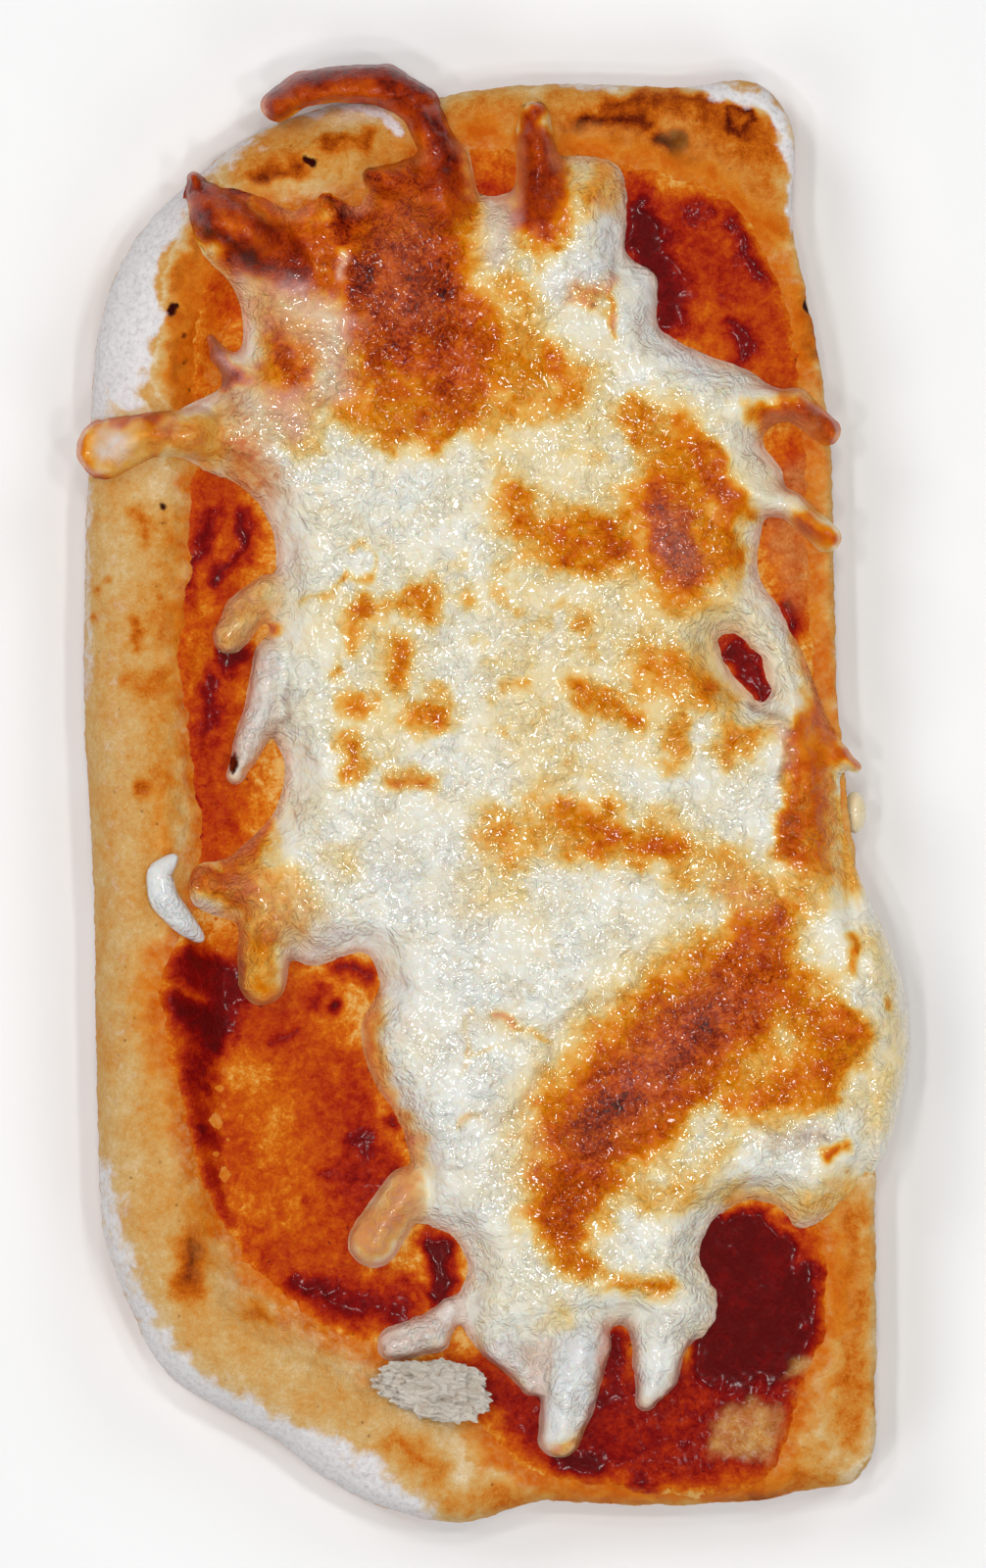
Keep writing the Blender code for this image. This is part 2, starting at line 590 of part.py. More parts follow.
def make_crumb(cutters):
    """A torn scrap of bread that stuck to the sauce, jagged all round."""
    mesh = bmesh.new()
    bmesh.ops.create_icosphere(mesh, subdivisions=3, radius=0.5)
    cx, cy = CRUMB
    ground = float(dough_top(np.array([cx]), np.array([cy]))[0]) + GAP + SAUCE_THICKNESS
    cosine, sine = math.cos(CRUMB_TURN), math.sin(CRUMB_TURN)
    for vertex in mesh.verts:
        angle = math.atan2(vertex.co.y, vertex.co.x)
        jag = 1.0 + sum(size * math.sin(count * angle + turn) for size, count, turn in CRUMB_JAGS)
        x, y = vertex.co.x * jag * CRUMB_SIZE[0], vertex.co.y * jag * CRUMB_SIZE[1]
        lump = CRUMB_LUMPS * math.sin(1.1 * x) * math.cos(1.3 * y)
        z = ground + CRUMB_LIFT + vertex.co.z * CRUMB_SIZE[2] + lump
        vertex.co = Vector((cx + cosine * x - sine * y, cy + sine * x + cosine * y, z)) * MM
    crumb = mesh_object("bread_scrap", mesh)
    clear_of_layers(crumb, cutters)
    return crumb


def main():
    for obj in list(bpy.data.objects):
        bpy.data.objects.remove(obj)
    slice_parts = bpy.data.collections.new("cheese_pizza_slice")
    cutters = bpy.data.collections.new("cutters")
    for collection in (slice_parts, cutters):
        bpy.context.scene.collection.children.link(collection)
    dough = make_dough()
    sauce = make_sauce(cutters, dough)
    make_sauce_room(cutters, dough)
    parts = (
        (dough, "dough"),
        (sauce, "sauce"),
        (make_cheese(cutters), "cheese"),
        (make_curl(cutters), "cheese"),
        (make_side_drop(cutters), "cheese"),
        (make_crumb(cutters), "crumb"),
    )
    materials = {name: surface_material(name) for name in COLORS}
    for obj, material in parts:
        slice_parts.objects.link(obj)
        obj.data.materials.append(materials[material])


main()
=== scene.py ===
"""The looks of a slice of cheese pizza, cut from a long tray pizza and lying flat.

Tables and sizes are in millimetres. X runs from the floured rim to the cut side, Y along the slice and
Z up, as in the part's own source, so every piece here follows the shape of the solid that it replaces.
"""

import math

import bpy
import numpy as np
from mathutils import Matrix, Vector
from mathutils.geometry import delaunay_2d_cdt


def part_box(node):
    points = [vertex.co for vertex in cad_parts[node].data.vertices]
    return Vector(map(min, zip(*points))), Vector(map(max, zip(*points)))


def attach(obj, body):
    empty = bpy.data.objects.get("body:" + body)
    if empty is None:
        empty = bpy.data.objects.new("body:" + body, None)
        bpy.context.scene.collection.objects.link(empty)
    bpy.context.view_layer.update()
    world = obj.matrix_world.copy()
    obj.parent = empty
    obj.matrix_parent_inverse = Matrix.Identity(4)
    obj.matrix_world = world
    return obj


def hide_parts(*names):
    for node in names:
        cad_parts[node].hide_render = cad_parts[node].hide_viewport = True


MM = 0.001

# Driving sizes of the dough.
MIDDLE_HEIGHT = 12.5
RIM_RISE = 4.5
RIM_WIDTH = 13.5
RIM_FADE = 4.0
RIM_SIDE_RADIUS = 7.0
EDGE_SIDE_RADIUS = 3.5
CUT_SIDE_RADIUS = 1.2
RIM_WIDEST_AT = 7.0
RIM_FOOT_RADIUS = 5.0
EDGE_FOOT_RADIUS = 1.5
CUT_FOOT_RADIUS = 0.8
DOME_RISE = 2.6
SHELF_RISE = 1.2

# The layers on it.
GAP = 0.3
SAUCE_THICKNESS = 0.9
CHEESE_THICKNESS = 3.4
CHEESE_LIP = 2.6
CHEESE_EDGE = 0.5
CHEESE_LUMPS = 0.55
MELT = 1.6
FUSE = 0.8
STRAND_SKIRT = 0.6
DROOP_DEPTH = 9.0
DROOP_REACH = 5.5
CLING = 1.6

# The dough seen from above, round from the lower left: floured rim, bottom edge, cut side, top edge.
DOUGH_OUTLINE = (
    (-54.2, 32.0), (-54.4, 14.0), (-53.0, -18.0), (-52.5, -48.0), (-51.6, -59.5), (-49.2, -66.6),
    (-43.7, -76.8), (-30.3, -85.3), (-16.0, -94.6), (-4.3, -97.1), (6.0, -94.4), (18.0, -94.8),
    (37.3, -93.9), (44.0, -92.4), (47.8, -92.0), (49.8, -89.6), (50.8, -79.5), (50.9, -60.0),
    (50.6, -38.0), (48.6, -12.0), (46.6, 4.0), (45.4, 27.0), (45.0, 45.0), (42.4, 63.0),
    (39.9, 75.0), (38.9, 90.8), (36.8, 93.6), (24.5, 94.0), (2.0, 94.1), (-9.5, 92.4),
    (-20.5, 91.8), (-29.6, 88.8), (-40.7, 81.0), (-47.8, 73.3), (-52.4, 62.0), (-53.6, 49.0),
)

# Where the sauce was spread, inside the rim and up to a finger's breadth from the cut.
SAUCE_OUTLINE = (
    (-39.5, 42.0), (-41.0, 15.0), (-39.0, -10.0), (-45.0, -26.0), (-41.5, -42.0), (-37.0, -57.0),
    (-26.0, -69.5), (-6.0, -79.5), (3.0, -90.0), (12.0, -92.6), (36.0, -92.0), (42.0, -78.0),
    (45.0, -69.0), (43.5, -52.0), (46.0, -30.0), (44.5, 2.0), (43.0, 30.0), (42.0, 52.0),
    (39.0, 68.0), (31.0, 80.0), (16.0, 84.5), (-6.0, 86.0), (-20.0, 77.5), (-34.0, 77.0),
    (-40.5, 62.0),
)

# The melted sheet without its strands, clockwise from the upper left.
CHEESE_OUTLINE = (
    (-34.0, 66.0), (-39.5, 73.0), (-40.5, 80.0), (-35.0, 80.6), (-30.5, 79.0), (-26.0, 77.0),
    (-21.8, 80.0), (-18.0, 77.5), (-16.0, 82.0), (-9.0, 84.5), (-3.7, 85.5), (-2.0, 79.5),
    (2.0, 79.5), (10.5, 84.5), (16.5, 83.2), (18.0, 77.0), (18.0, 71.5), (21.7, 69.0),
    (22.6, 61.5), (27.5, 58.5), (34.8, 55.5), (37.5, 52.5), (35.8, 46.2), (38.4, 42.6),
    (36.0, 36.0), (35.2, 29.2), (39.0, 23.0), (43.2, 13.0), (45.8, 6.0), (46.4, -4.0),
    (48.0, -9.5), (50.0, -14.5), (53.0, -21.0), (55.2, -28.0), (55.5, -34.0), (54.6, -39.0),
    (53.0, -45.0), (50.5, -50.5), (46.2, -54.8), (40.0, -57.6), (38.4, -55.5), (34.2, -54.0),
    (29.2, -57.2), (28.0, -61.5), (30.4, -67.0), (28.8, -71.8), (24.0, -73.6), (17.0, -70.6),
    (12.0, -72.0), (4.5, -74.5), (-1.5, -74.0), (-4.8, -68.0), (-3.3, -62.5), (-6.0, -58.4),
    (-9.6, -57.0), (-10.8, -49.0), (-12.8, -42.8), (-16.2, -37.5), (-17.5, -31.0), (-15.0, -25.2),
    (-16.6, -21.5), (-24.0, -23.0), (-33.0, -17.5), (-40.0, -14.2), (-40.0, -10.5), (-34.0, -7.5),
    (-28.6, -1.6), (-27.6, 3.5), (-29.6, 9.0), (-30.0, 19.0), (-28.6, 29.0), (-29.2, 34.5),
    (-32.0, 39.5), (-38.0, 42.5), (-41.5, 46.0), (-40.5, 51.0), (-36.5, 53.5), (-33.5, 58.5),
)

# Strands, tongues and drips that ran off the sheet: (x, y, half width) along each, then its height.
CHEESE_STRANDS = {
    "top_loop": (((-28.6, 91.2, 2.2), (-25.5, 93.6, 2.6), (-20.0, 94.2, 2.6), (-14.5, 94.2, 2.9),
                  (-9.8, 91.0, 2.9), (-7.4, 86.0, 2.6), (-6.0, 80.0, 3.4)), 4.2),
    "horn": (((-39.6, 81.6, 0.9), (-37.6, 77.5, 2.4), (-33.0, 74.0, 3.4), (-27.0, 70.0, 3.6)), 4.6),
    "upper_fold": (((-16.4, 81.8, 0.8), (-12.0, 80.5, 2.6), (-6.5, 77.0, 3.4)), 4.6),
    "top_finger": (((5.4, 90.0, 2.2), (5.7, 85.0, 2.7), (6.6, 77.0, 3.6)), 5.0),
    "side_nub": (((-51.0, 45.6, 4.2), (-45.5, 47.4, 3.2), (-39.0, 47.5, 3.0)), 5.6),
    "side_thorn": (((-37.4, 60.2, 0.5), (-36.2, 58.0, 1.3), (-33.5, 55.5, 2.0)), 3.6),
    "edge_run_high": (((34.0, 51.0, 2.4), (40.0, 51.6, 2.2), (44.2, 48.0, 1.9)), 3.6),
    "edge_run_low": (((33.0, 40.0, 2.6), (39.5, 38.2, 1.9), (44.3, 33.8, 1.9)), 3.6),
    "edge_thorn": (((43.0, 6.4, 2.2), (46.4, 4.4, 1.4), (48.2, 3.4, 0.8)), 2.4),
    "left_flake": (((-30.0, 26.6, 2.4), (-33.4, 23.4, 2.8), (-35.0, 20.6, 2.4)), 3.2),
    "left_flap": (((-29.5, 18.0, 2.2), (-30.6, 11.0, 2.4), (-33.0, 5.0, 1.9), (-34.2, 2.4, 1.3)), 2.8),
    "finger_down": (((-29.0, -14.0, 4.4), (-30.3, -20.0, 3.6), (-30.6, -25.0, 3.2)), 4.4),
    "clear_drop": (((-11.5, -53.0, 3.2), (-15.8, -59.5, 3.5)), 3.0),
    "pink_scrap": (((-5.8, -68.6, 1.6), (-8.0, -71.6, 2.8), (-13.0, -73.2, 2.4)), 2.4),
    "tongue_short": (((1.0, -73.0, 2.6), (4.0, -76.6, 2.0), (5.0, -78.6, 1.4)), 3.4),
    "tongue_long": (((11.4, -73.0, 4.4), (10.0, -80.5, 3.7), (8.8, -85.4, 2.9)), 4.2),
    "tongue_right": (((22.2, -71.5, 4.0), (21.6, -77.5, 3.0), (20.3, -80.4, 1.6)), 3.8),
}

# One window in the sheet shows the sauce: (x, y, half width) along it.
CHEESE_WINDOW = ((31.5, 19.6, 1.5), (33.6, 16.8, 2.2), (35.4, 13.6, 1.1))

# Small separate pieces.
CURL = (
    (-41.8, -8.2, 0.7), (-44.2, -10.6, 1.7), (-43.6, -14.0, 2.0), (-41.0, -17.2, 1.6), (-38.4, -19.6, 0.8),
)
CURL_LIFT = 1.0
SIDE_DROP = (48.2, -2.6, 8.6)
SIDE_DROP_SIZE = (1.5, 2.8, 2.2)
CRUMB = (-7.6, -79.0)
CRUMB_SIZE = (14.0, 7.6, 3.6)
CRUMB_TURN = math.radians(-8)


def smoothstep(value, low, high):
    t = np.clip((value - low) / (high - low), 0.0, 1.0)
    return t * t * (3.0 - 2.0 * t)


def closed_spline(points, step):
    """Points about every step along a smooth closed line through the given ones."""
    p = np.array(points, float)
    before, after = np.roll(p, 1, axis=0), np.roll(p, -1, axis=0)
    reach_back = np.linalg.norm(p - before, axis=1)[:, None]
    reach_on = np.linalg.norm(after - p, axis=1)[:, None]
    slope = reach_on * (p - before) / reach_back + reach_back * (after - p) / reach_on
    slope /= reach_back + reach_on
    line = []
    for i in range(len(p)):
        j = (i + 1) % len(p)
        count = max(2, int(round(reach_on[i, 0] / step)))
        t = (np.arange(count) / count)[:, None]
        line.append(
            (2 * t**3 - 3 * t**2 + 1) * p[i] + (t**3 - 2 * t**2 + t) * reach_on[i] * slope[i]
            + (3 * t**2 - 2 * t**3) * p[j] + (t**3 - t**2) * reach_on[i] * slope[j]
        )
    return np.concatenate(line)


def enclosed(lines, x, y):
    """Whether each point lies inside the closed lines, where a line within another is a hole."""
    inside = np.zeros(np.shape(x), bool)
    for line in lines:
        for (ax, ay), (bx, by) in zip(line, np.roll(line, -1, axis=0)):
            if ay != by:
                crosses = (ay > y) != (by > y)
                inside ^= crosses & (x < ax + (y - ay) * (bx - ax) / (by - ay))
    return inside


def inside_distance(line, x, y):
    """Distance from each point to a closed line, positive inside it."""
    nearest = np.full(np.shape(x), np.inf)
    for (ax, ay), (bx, by) in zip(line, np.roll(line, -1, axis=0)):
        dx, dy = bx - ax, by - ay
        t = np.clip(((x - ax) * dx + (y - ay) * dy) / (dx * dx + dy * dy), 0.0, 1.0)
        nearest = np.minimum(nearest, (x - ax - t * dx) ** 2 + (y - ay - t * dy) ** 2)
    nearest = np.sqrt(nearest)
    return np.where(enclosed([line], x, y), nearest, -nearest)


def along_strand(strand, x, y):
    """For each point, its distance to the strand's spine and the half width there."""
    distance = np.full(np.shape(x), np.inf)
    width = np.zeros(np.shape(x))
    for (ax, ay, ar), (bx, by, br) in zip(strand[:-1], strand[1:]):
        dx, dy = bx - ax, by - ay
        t = np.clip(((x - ax) * dx + (y - ay) * dy) / (dx * dx + dy * dy), 0.0, 1.0)
        found = np.hypot(x - ax - t * dx, y - ay - t * dy)
        width = np.where(found < distance, ar + t * (br - ar), width)
        distance = np.minimum(distance, found)
    return distance, width


def melt_together(a, b, reach):
    """The larger of two fields, with a soft fillet where they meet."""
    share = np.clip(0.5 + 0.5 * (a - b) / reach, 0.0, 1.0)
    return b + (a - b) * share + reach * share * (1.0 - share)


class Gridded:
    """A slow field worked out once on a fine grid, then read between its points."""

    def __init__(self, field):
        self.xs = np.arange(-62.0, 62.0, FIELD_STEP)
        self.ys = np.arange(-104.0, 104.0, FIELD_STEP)
        self.values = field(*np.meshgrid(self.xs, self.ys, indexing="ij"))

    def __call__(self, x, y):
        u = np.clip((x - self.xs[0]) / FIELD_STEP, 0.0, len(self.xs) - 1.001)
        v = np.clip((y - self.ys[0]) / FIELD_STEP, 0.0, len(self.ys) - 1.001)
        i, j = u.astype(int), v.astype(int)
        s, t = u - i, v - j
        g = self.values
        low = g[i, j] * (1 - s) + g[i + 1, j] * s
        high = g[i, j + 1] * (1 - s) + g[i + 1, j + 1] * s
        return low * (1 - t) + high * t


def scrambled(cell, seed):
    """A steady pseudo-random number from 0 to 1 for each whole-number cell."""
    value = np.full(np.shape(cell[0]), (seed * 0x9E3779B1) & 0xFFFFFFFF, np.uint64)
    for k, part in enumerate(cell):
        value ^= (part.astype(np.int64) + 0x8000).astype(np.uint64) * np.uint64(0x85EBCA6B + 0x3C6EF * k)
        value &= np.uint64(0xFFFFFFFF)
        value = (value ^ (value >> np.uint64(15))) * np.uint64(0x2C1B3C6D) & np.uint64(0xFFFFFFFF)
        value = (value ^ (value >> np.uint64(12))) * np.uint64(0x297A2D39) & np.uint64(0xFFFFFFFF)
        value ^= value >> np.uint64(15)
    return value.astype(float) / 0xFFFFFFFF


def noise(points, size, seed):
    """Smooth noise from about -1 to 1, with lumps about that size across, for any number of axes."""
    place = [np.asarray(p, float) / size + 17.31 * (k + 1) for k, p in enumerate(points)]
    whole = [np.floor(p) for p in place]
    share = [p - w for p, w in zip(place, whole)]
    eased = [s * s * s * (s * (6 * s - 15) + 10) for s in share]
    total = 0.0
    axes = len(place)
    for corner in range(2**axes):
        step = [(corner >> k) & 1 for k in range(axes)]
        cell = [w + s for w, s in zip(whole, step)]
        weight = 1.0
        for e, s in zip(eased, step):
            weight = weight * (e if s else 1.0 - e)
        turn = scrambled(cell, seed) * 2 * math.pi
        slope = np.cos(turn) * (share[0] - step[0]) + np.sin(turn) * (share[1] - step[1])
        if axes == 3:
            slope = slope + (2 * scrambled(cell, seed + 77) - 1) * (share[2] - step[2])
        total = total + weight * slope
    return np.clip(total * 1.5, -1.0, 1.0)


def rough(points, size, seed, rounds=3, fade=0.55):
    """Noise with finer noise on it, each round half the size of the one before."""
    total, share, most = 0.0, 1.0, 0.0
    for k in range(rounds):
        total = total + share * noise(points, size / 2**k, seed + 11 * k)
        most += share
        share *= fade
    return total / most


def cells(points, size, seed, jitter=0.9):
    """Distance to the nearest of the scattered middles and to the next nearest, in cell sizes."""
    place = [np.asarray(p, float) / size + 9.7 for p in points]
    whole = [np.floor(p) for p in place]
    first = np.full(np.shape(place[0]), 9.0)
    second = first.copy()
    pick = first * 0.0
    for corner in range(3 ** len(place)):
        step = [corner // 3**k % 3 - 1 for k in range(len(place))]
        cell = [w + s for w, s in zip(whole, step)]
        gap = 0.0
        for k, (p, c) in enumerate(zip(place, cell)):
            gap = gap + (c + 0.5 + jitter * (scrambled(cell, seed + 31 * k) - 0.5) - p) ** 2
        gap = np.sqrt(gap)
        pick = np.where(gap < first, scrambled(cell, seed + 5), pick)
        second = np.minimum(second, np.maximum(first, gap))
        first = np.minimum(first, gap)
    return first, second, pick


EDGE_DROP = 1.3
SMOOTH_STRANDS = (
    "top_loop", "horn", "top_finger", "side_nub", "side_thorn", "edge_run_high", "edge_run_low",
    "edge_thorn", "clear_drop",
)
FIELD_STEP = 0.4
STEP = 0.4

DOUGH_LINE = closed_spline(DOUGH_OUTLINE, 1.5)
SAUCE_LINE = closed_spline(SAUCE_OUTLINE, 2.0)
CHEESE_LINE = closed_spline(CHEESE_OUTLINE, 1.0)


def dough_distance(x, y):
    """How far inside the dough's outline each point is; the outline is a little uneven."""
    return inside_distance(DOUGH_LINE, x, y) + 0.22 * rough((x, y), 5.0, 21) - 0.1


def sauce_distance(x, y):
    return inside_distance(SAUCE_LINE, x, y) + 0.8 * rough((x, y), 7.0, 22)


def cheese_distance(x, y):
    field = inside_distance(CHEESE_LINE, x, y)
    for spine, _ in CHEESE_STRANDS.values():
        distance, width = along_strand(spine, x, y)
        field = melt_together(field, width - distance, MELT)
    distance, width = along_strand(CHEESE_WINDOW, x, y)
    field = np.minimum(field, distance - width)
    return field + 0.28 * rough((x, y), 3.2, 23)


dough_field = Gridded(dough_distance)
sauce_field = Gridded(sauce_distance)
cheese_field = Gridded(cheese_distance)


def rim_share(x, y):
    """1 at the rim end, 0 towards the cut side."""
    return 1.0 - smoothstep(x + 0.06 * np.abs(y), -26.0, 8.0)


def cut_share(x, y):
    """1 beside the straight cut on the right, 0 elsewhere."""
    cut_x = 44.8 - 0.068 * y
    return smoothstep(x, cut_x - 7.0, cut_x - 3.0) * (1.0 - smoothstep(np.abs(y), 88.0, 92.0))


def mound(x, y, cx, cy, rx, ry):
    return np.exp(-(((x - cx) / rx) ** 2) - ((y - cy) / ry) ** 2)


def dough_height(x, y, inside):
    """The top of the dough before its edge is rounded off."""
    rim = rim_share(x, y) * (1.0 - smoothstep(inside, RIM_WIDTH - RIM_FADE, RIM_WIDTH + RIM_FADE))
    dome = DOME_RISE * mound(x, y, -21.0, 84.0, 11.0, 6.0)
    shelf = SHELF_RISE * mound(x, y, -35.5, 16.0, 4.5, 24.0)
    swell = 0.5 * np.sin(x / 11.0 + 0.8) * np.cos(y / 17.0 + 0.3) + 0.35 * np.sin(y / 9.0 - x / 21.0)
    return MIDDLE_HEIGHT + RIM_RISE * rim + dome + shelf + swell


def rounded(inside, radius):
    """A quarter ellipse: 0 at the edge, 1 from the radius inwards."""
    return np.sqrt(1.0 - (1.0 - np.clip(inside / radius, 0.0, 1.0)) ** 2)


def by_side(x, y, rim, edge, cut):
    """A size that changes round the slice, from the rim's value to the edges' and the cut's."""
    share = rim_share(x, y)
    size = edge + share * (rim - edge)
    return size + cut_share(x, y) * (cut - size)


def wall_top(x, y):
    """Height of the top of the dough's side wall."""
    return by_side(x, y, RIM_WIDEST_AT + 2.0, MIDDLE_HEIGHT - 3.6, MIDDLE_HEIGHT - 1.0)


def wall_foot(x, y):
    """Height of the bottom of the dough's side wall."""
    return by_side(x, y, RIM_WIDEST_AT - 2.0, 1.6, 0.7)


def dough_top(x, y, inside=None):
    inside = dough_field(x, y) if inside is None else inside
    radius = by_side(x, y, RIM_SIDE_RADIUS, EDGE_SIDE_RADIUS, CUT_SIDE_RADIUS)
    edge = wall_top(x, y)
    return edge + (dough_height(x, y, inside) - edge) * rounded(inside, radius)


def dough_bottom(x, y):
    inside = dough_field(x, y)
    radius = by_side(x, y, RIM_FOOT_RADIUS, EDGE_FOOT_RADIUS, CUT_FOOT_RADIUS)
    return wall_foot(x, y) * (1.0 - rounded(inside, radius))


def cheese_underside(x, y):
    """Where the melted sheet lies: on the sauce, and bending down where it runs off the dough."""
    inside = dough_field(x, y)
    lying = dough_top(x, y, np.maximum(inside, CLING))
    on_sauce = smoothstep(sauce_field(x, y), -6.0, 1.5)
    hanging = DROOP_DEPTH * (1.0 - np.sqrt(1.0 - np.clip(-inside / DROOP_REACH, 0.0, 1.0) ** 2))
    return lying + GAP + on_sauce * (SAUCE_THICKNESS + GAP) - hanging


def cheese_top(x, y):
    """The sheet's upper face: a rounded lip all round, low lumps, and the strands standing proud."""
    inside = cheese_field(x, y)
    lumps = np.sin(x / 4.1 + 1.3 * np.sin(y / 13.0)) * np.sin(y / 5.3 - x / 17.0)
    on_dough = smoothstep(dough_field(x, y), -0.4, 1.5)
    lip = rounded(inside, CHEESE_LIP) * (1.0 - on_dough) + (0.08 + 0.92 * smoothstep(inside, -0.8, 6.0)) * on_dough
    thick = (CHEESE_THICKNESS + CHEESE_LUMPS * lumps) * lip
    for spine, height in CHEESE_STRANDS.values():
        distance, width = along_strand(spine, x, y)
        across = distance / (width + STRAND_SKIRT)
        lumpy = height * (0.92 + 0.22 * noise((x, y), 3.6, 109))
        ridge = np.where(across < 1.0, lumpy * np.sqrt(np.clip(1.0 - across**2, 0.0, 1.0)), -FUSE)
        thick = melt_together(thick, ridge, FUSE)
    melted_down = EDGE_DROP * on_dough * (1.0 - smoothstep(inside, 0.2, 4.6))
    return cheese_underside(x, y) + thick * smoothstep(inside, -0.2, 0.9) - melted_down


def level_lines(values, xs, ys):
    """Closed lines where gridded values cross zero, with the positive side on their left."""
    inside = values > 0.0
    onward, place = {}, {}
    mixed = inside[:-1, :-1].astype(int) + inside[1:, :-1] + inside[1:, 1:] + inside[:-1, 1:]
    for column, row in np.argwhere((mixed > 0) & (mixed < 4)):
        corners = [(column + i, row + j) for i, j in ((0, 0), (1, 0), (1, 1), (0, 1))]
        leaving, entering = [], []
        for k in range(4):
            a, b = corners[k], corners[(k + 1) % 4]
            if inside[a] == inside[b]:
                continue
            key = (min(a, b), max(a, b))
            share = values[a] / (values[a] - values[b])
            ends = np.array([(xs[i], ys[j]) for i, j in (a, b)])
            place[key] = ends[0] + share * (ends[1] - ends[0])
            (leaving if inside[a] else entering).append((k, key))
        for k, key in leaving:
            onward[key] = min(entering, key=lambda other: (k - other[0]) % 4)[1]
    lines = []
    while onward:
        key, following = onward.popitem()
        line = [place[key]]
        while following in onward:
            line.append(place[following])
            following = onward.pop(following)
        lines.append(np.array(line))
    return lines


def evenly(line, step):
    """The closed line with points about every step."""
    closed = np.vstack([line, line[:1]])
    along = np.concatenate([[0.0], np.cumsum(np.linalg.norm(np.diff(closed, axis=0), axis=1))])
    count = max(8, int(round(along[-1] / step)))
    at = np.arange(count) / count * along[-1]
    return np.stack([np.interp(at, along, closed[:, 0]), np.interp(at, along, closed[:, 1])], axis=1)


def outline_of(field):
    """The field's level lines, evenly spaced. Scraps too short to matter are left out."""
    lines = [evenly(line, STEP) for line in level_lines(field.values, field.xs, field.ys)]
    return [line for line in lines if len(line) * STEP > 9.0]


def inset_rows(lines, field, insets):
    """Rows of points inside the lines, at these distances from them."""
    rows = []
    for inset in insets:
        for line in lines:
            along = np.roll(line, -2, axis=0) - np.roll(line, 2, axis=0)
            inward = np.stack([-along[:, 1], along[:, 0]], axis=1)
            row = line + inset * inward / (np.linalg.norm(inward, axis=1)[:, None] + 1e-9)
            rows.append(row[field(row[:, 0], row[:, 1]) > 0.85 * inset])
    return rows


def hex_grid(spacing):
    gx, gy = np.meshgrid(np.arange(-60.0, 60.0, spacing), np.arange(-100.0, 100.0, spacing * 0.866))
    gx = gx + 0.5 * spacing * (np.arange(len(gx)) % 2)[:, None]
    return gx.ravel(), gy.ravel()


def inner_points(field, margin, showing):
    """A fine triangular grid of points where the piece shows, and a coarse one where it doesn't."""
    rows = []
    for spacing, wanted in ((STEP, True), (2.6, False)):
        gx, gy = hex_grid(spacing)
        deep = field(gx, gy) > margin + 0.4 * min(spacing, 1.0)
        seen = showing(gx, gy)
        if not wanted:
            seen = seen | showing(gx + 1.2, gy) | showing(gx - 1.2, gy) | showing(gx, gy + 1.2) | showing(gx, gy - 1.2)
        keep = deep & (seen == wanted)
        rows.append(np.stack([gx[keep], gy[keep]], axis=1))
    return rows


def plan_triangles(lines, rows):
    """(points, triangles) filling the closed lines, whose own points come first."""
    edges, first = [], 0
    for line in lines:
        count = len(line)
        edges += [(first + i, first + (i + 1) % count) for i in range(count)]
        first += count
    points = np.concatenate([*lines, *rows])
    corners, _, triangles, origins, *_ = delaunay_2d_cdt(
        [Vector(p) for p in points], edges, [], 0, 1e-4, True
    )
    place = np.array([min(found) if found else -1 for found in origins])
    corners, triangles = np.array([tuple(c) for c in corners]), np.array(triangles)
    middle = corners[triangles].mean(axis=1)
    triangles = place[triangles[enclosed(lines, middle[:, 0], middle[:, 1])]]
    triangles = triangles[(triangles >= 0).all(axis=1)]
    a, b, c = (points[triangles[:, k]] for k in range(3))
    turned = np.cross(b - a, c - a) < 0
    triangles[turned] = triangles[turned][:, ::-1]
    return points, triangles


def closed_relief(lines, upper_rows, lower_rows, top, bottom, wall_rows):
    """(points, faces) of a closed piece: an upper face, a lower face and a wall round them."""
    upper, upper_faces = plan_triangles(lines, upper_rows)
    lower, lower_faces = plan_triangles(lines, lower_rows)
    count = sum(len(line) for line in lines)
    high = np.column_stack([upper, top(upper[:, 0], upper[:, 1])])
    low = np.column_stack([lower, bottom(lower[:, 0], lower[:, 1])])
    points, faces = [high, low], [upper_faces, lower_faces[:, ::-1] + len(high)]
    ring = np.arange(count)
    onward = np.concatenate([
        first + np.roll(np.arange(len(line)), -1)
        for line, first in zip(lines, np.cumsum([0] + [len(line) for line in lines[:-1]]))
    ])
    base = len(high) + len(low)
    rows = [ring] + [base + count * k + ring for k in range(wall_rows - 1)] + [len(high) + ring]
    for k in range(1, wall_rows):
        share = k / wall_rows
        points.append(high[:count] * (1 - share) + low[:count] * share)
    for above, below in zip(rows[:-1], rows[1:]):
        faces.append(np.column_stack([above, below, below[onward]]))
        faces.append(np.column_stack([above, below[onward], above[onward]]))
    return np.concatenate(points), np.concatenate(faces), len(high)


def normals_of(points, faces):
    a, b, c = (points[faces[:, k]] for k in range(3))
    flat = np.cross(b - a, c - a)
    total = np.zeros_like(points)
    for k in range(3):
        for axis in range(3):
            total[:, axis] += np.bincount(faces[:, k], flat[:, axis], len(points))
    return total / (np.linalg.norm(total, axis=1)[:, None] + 1e-12)


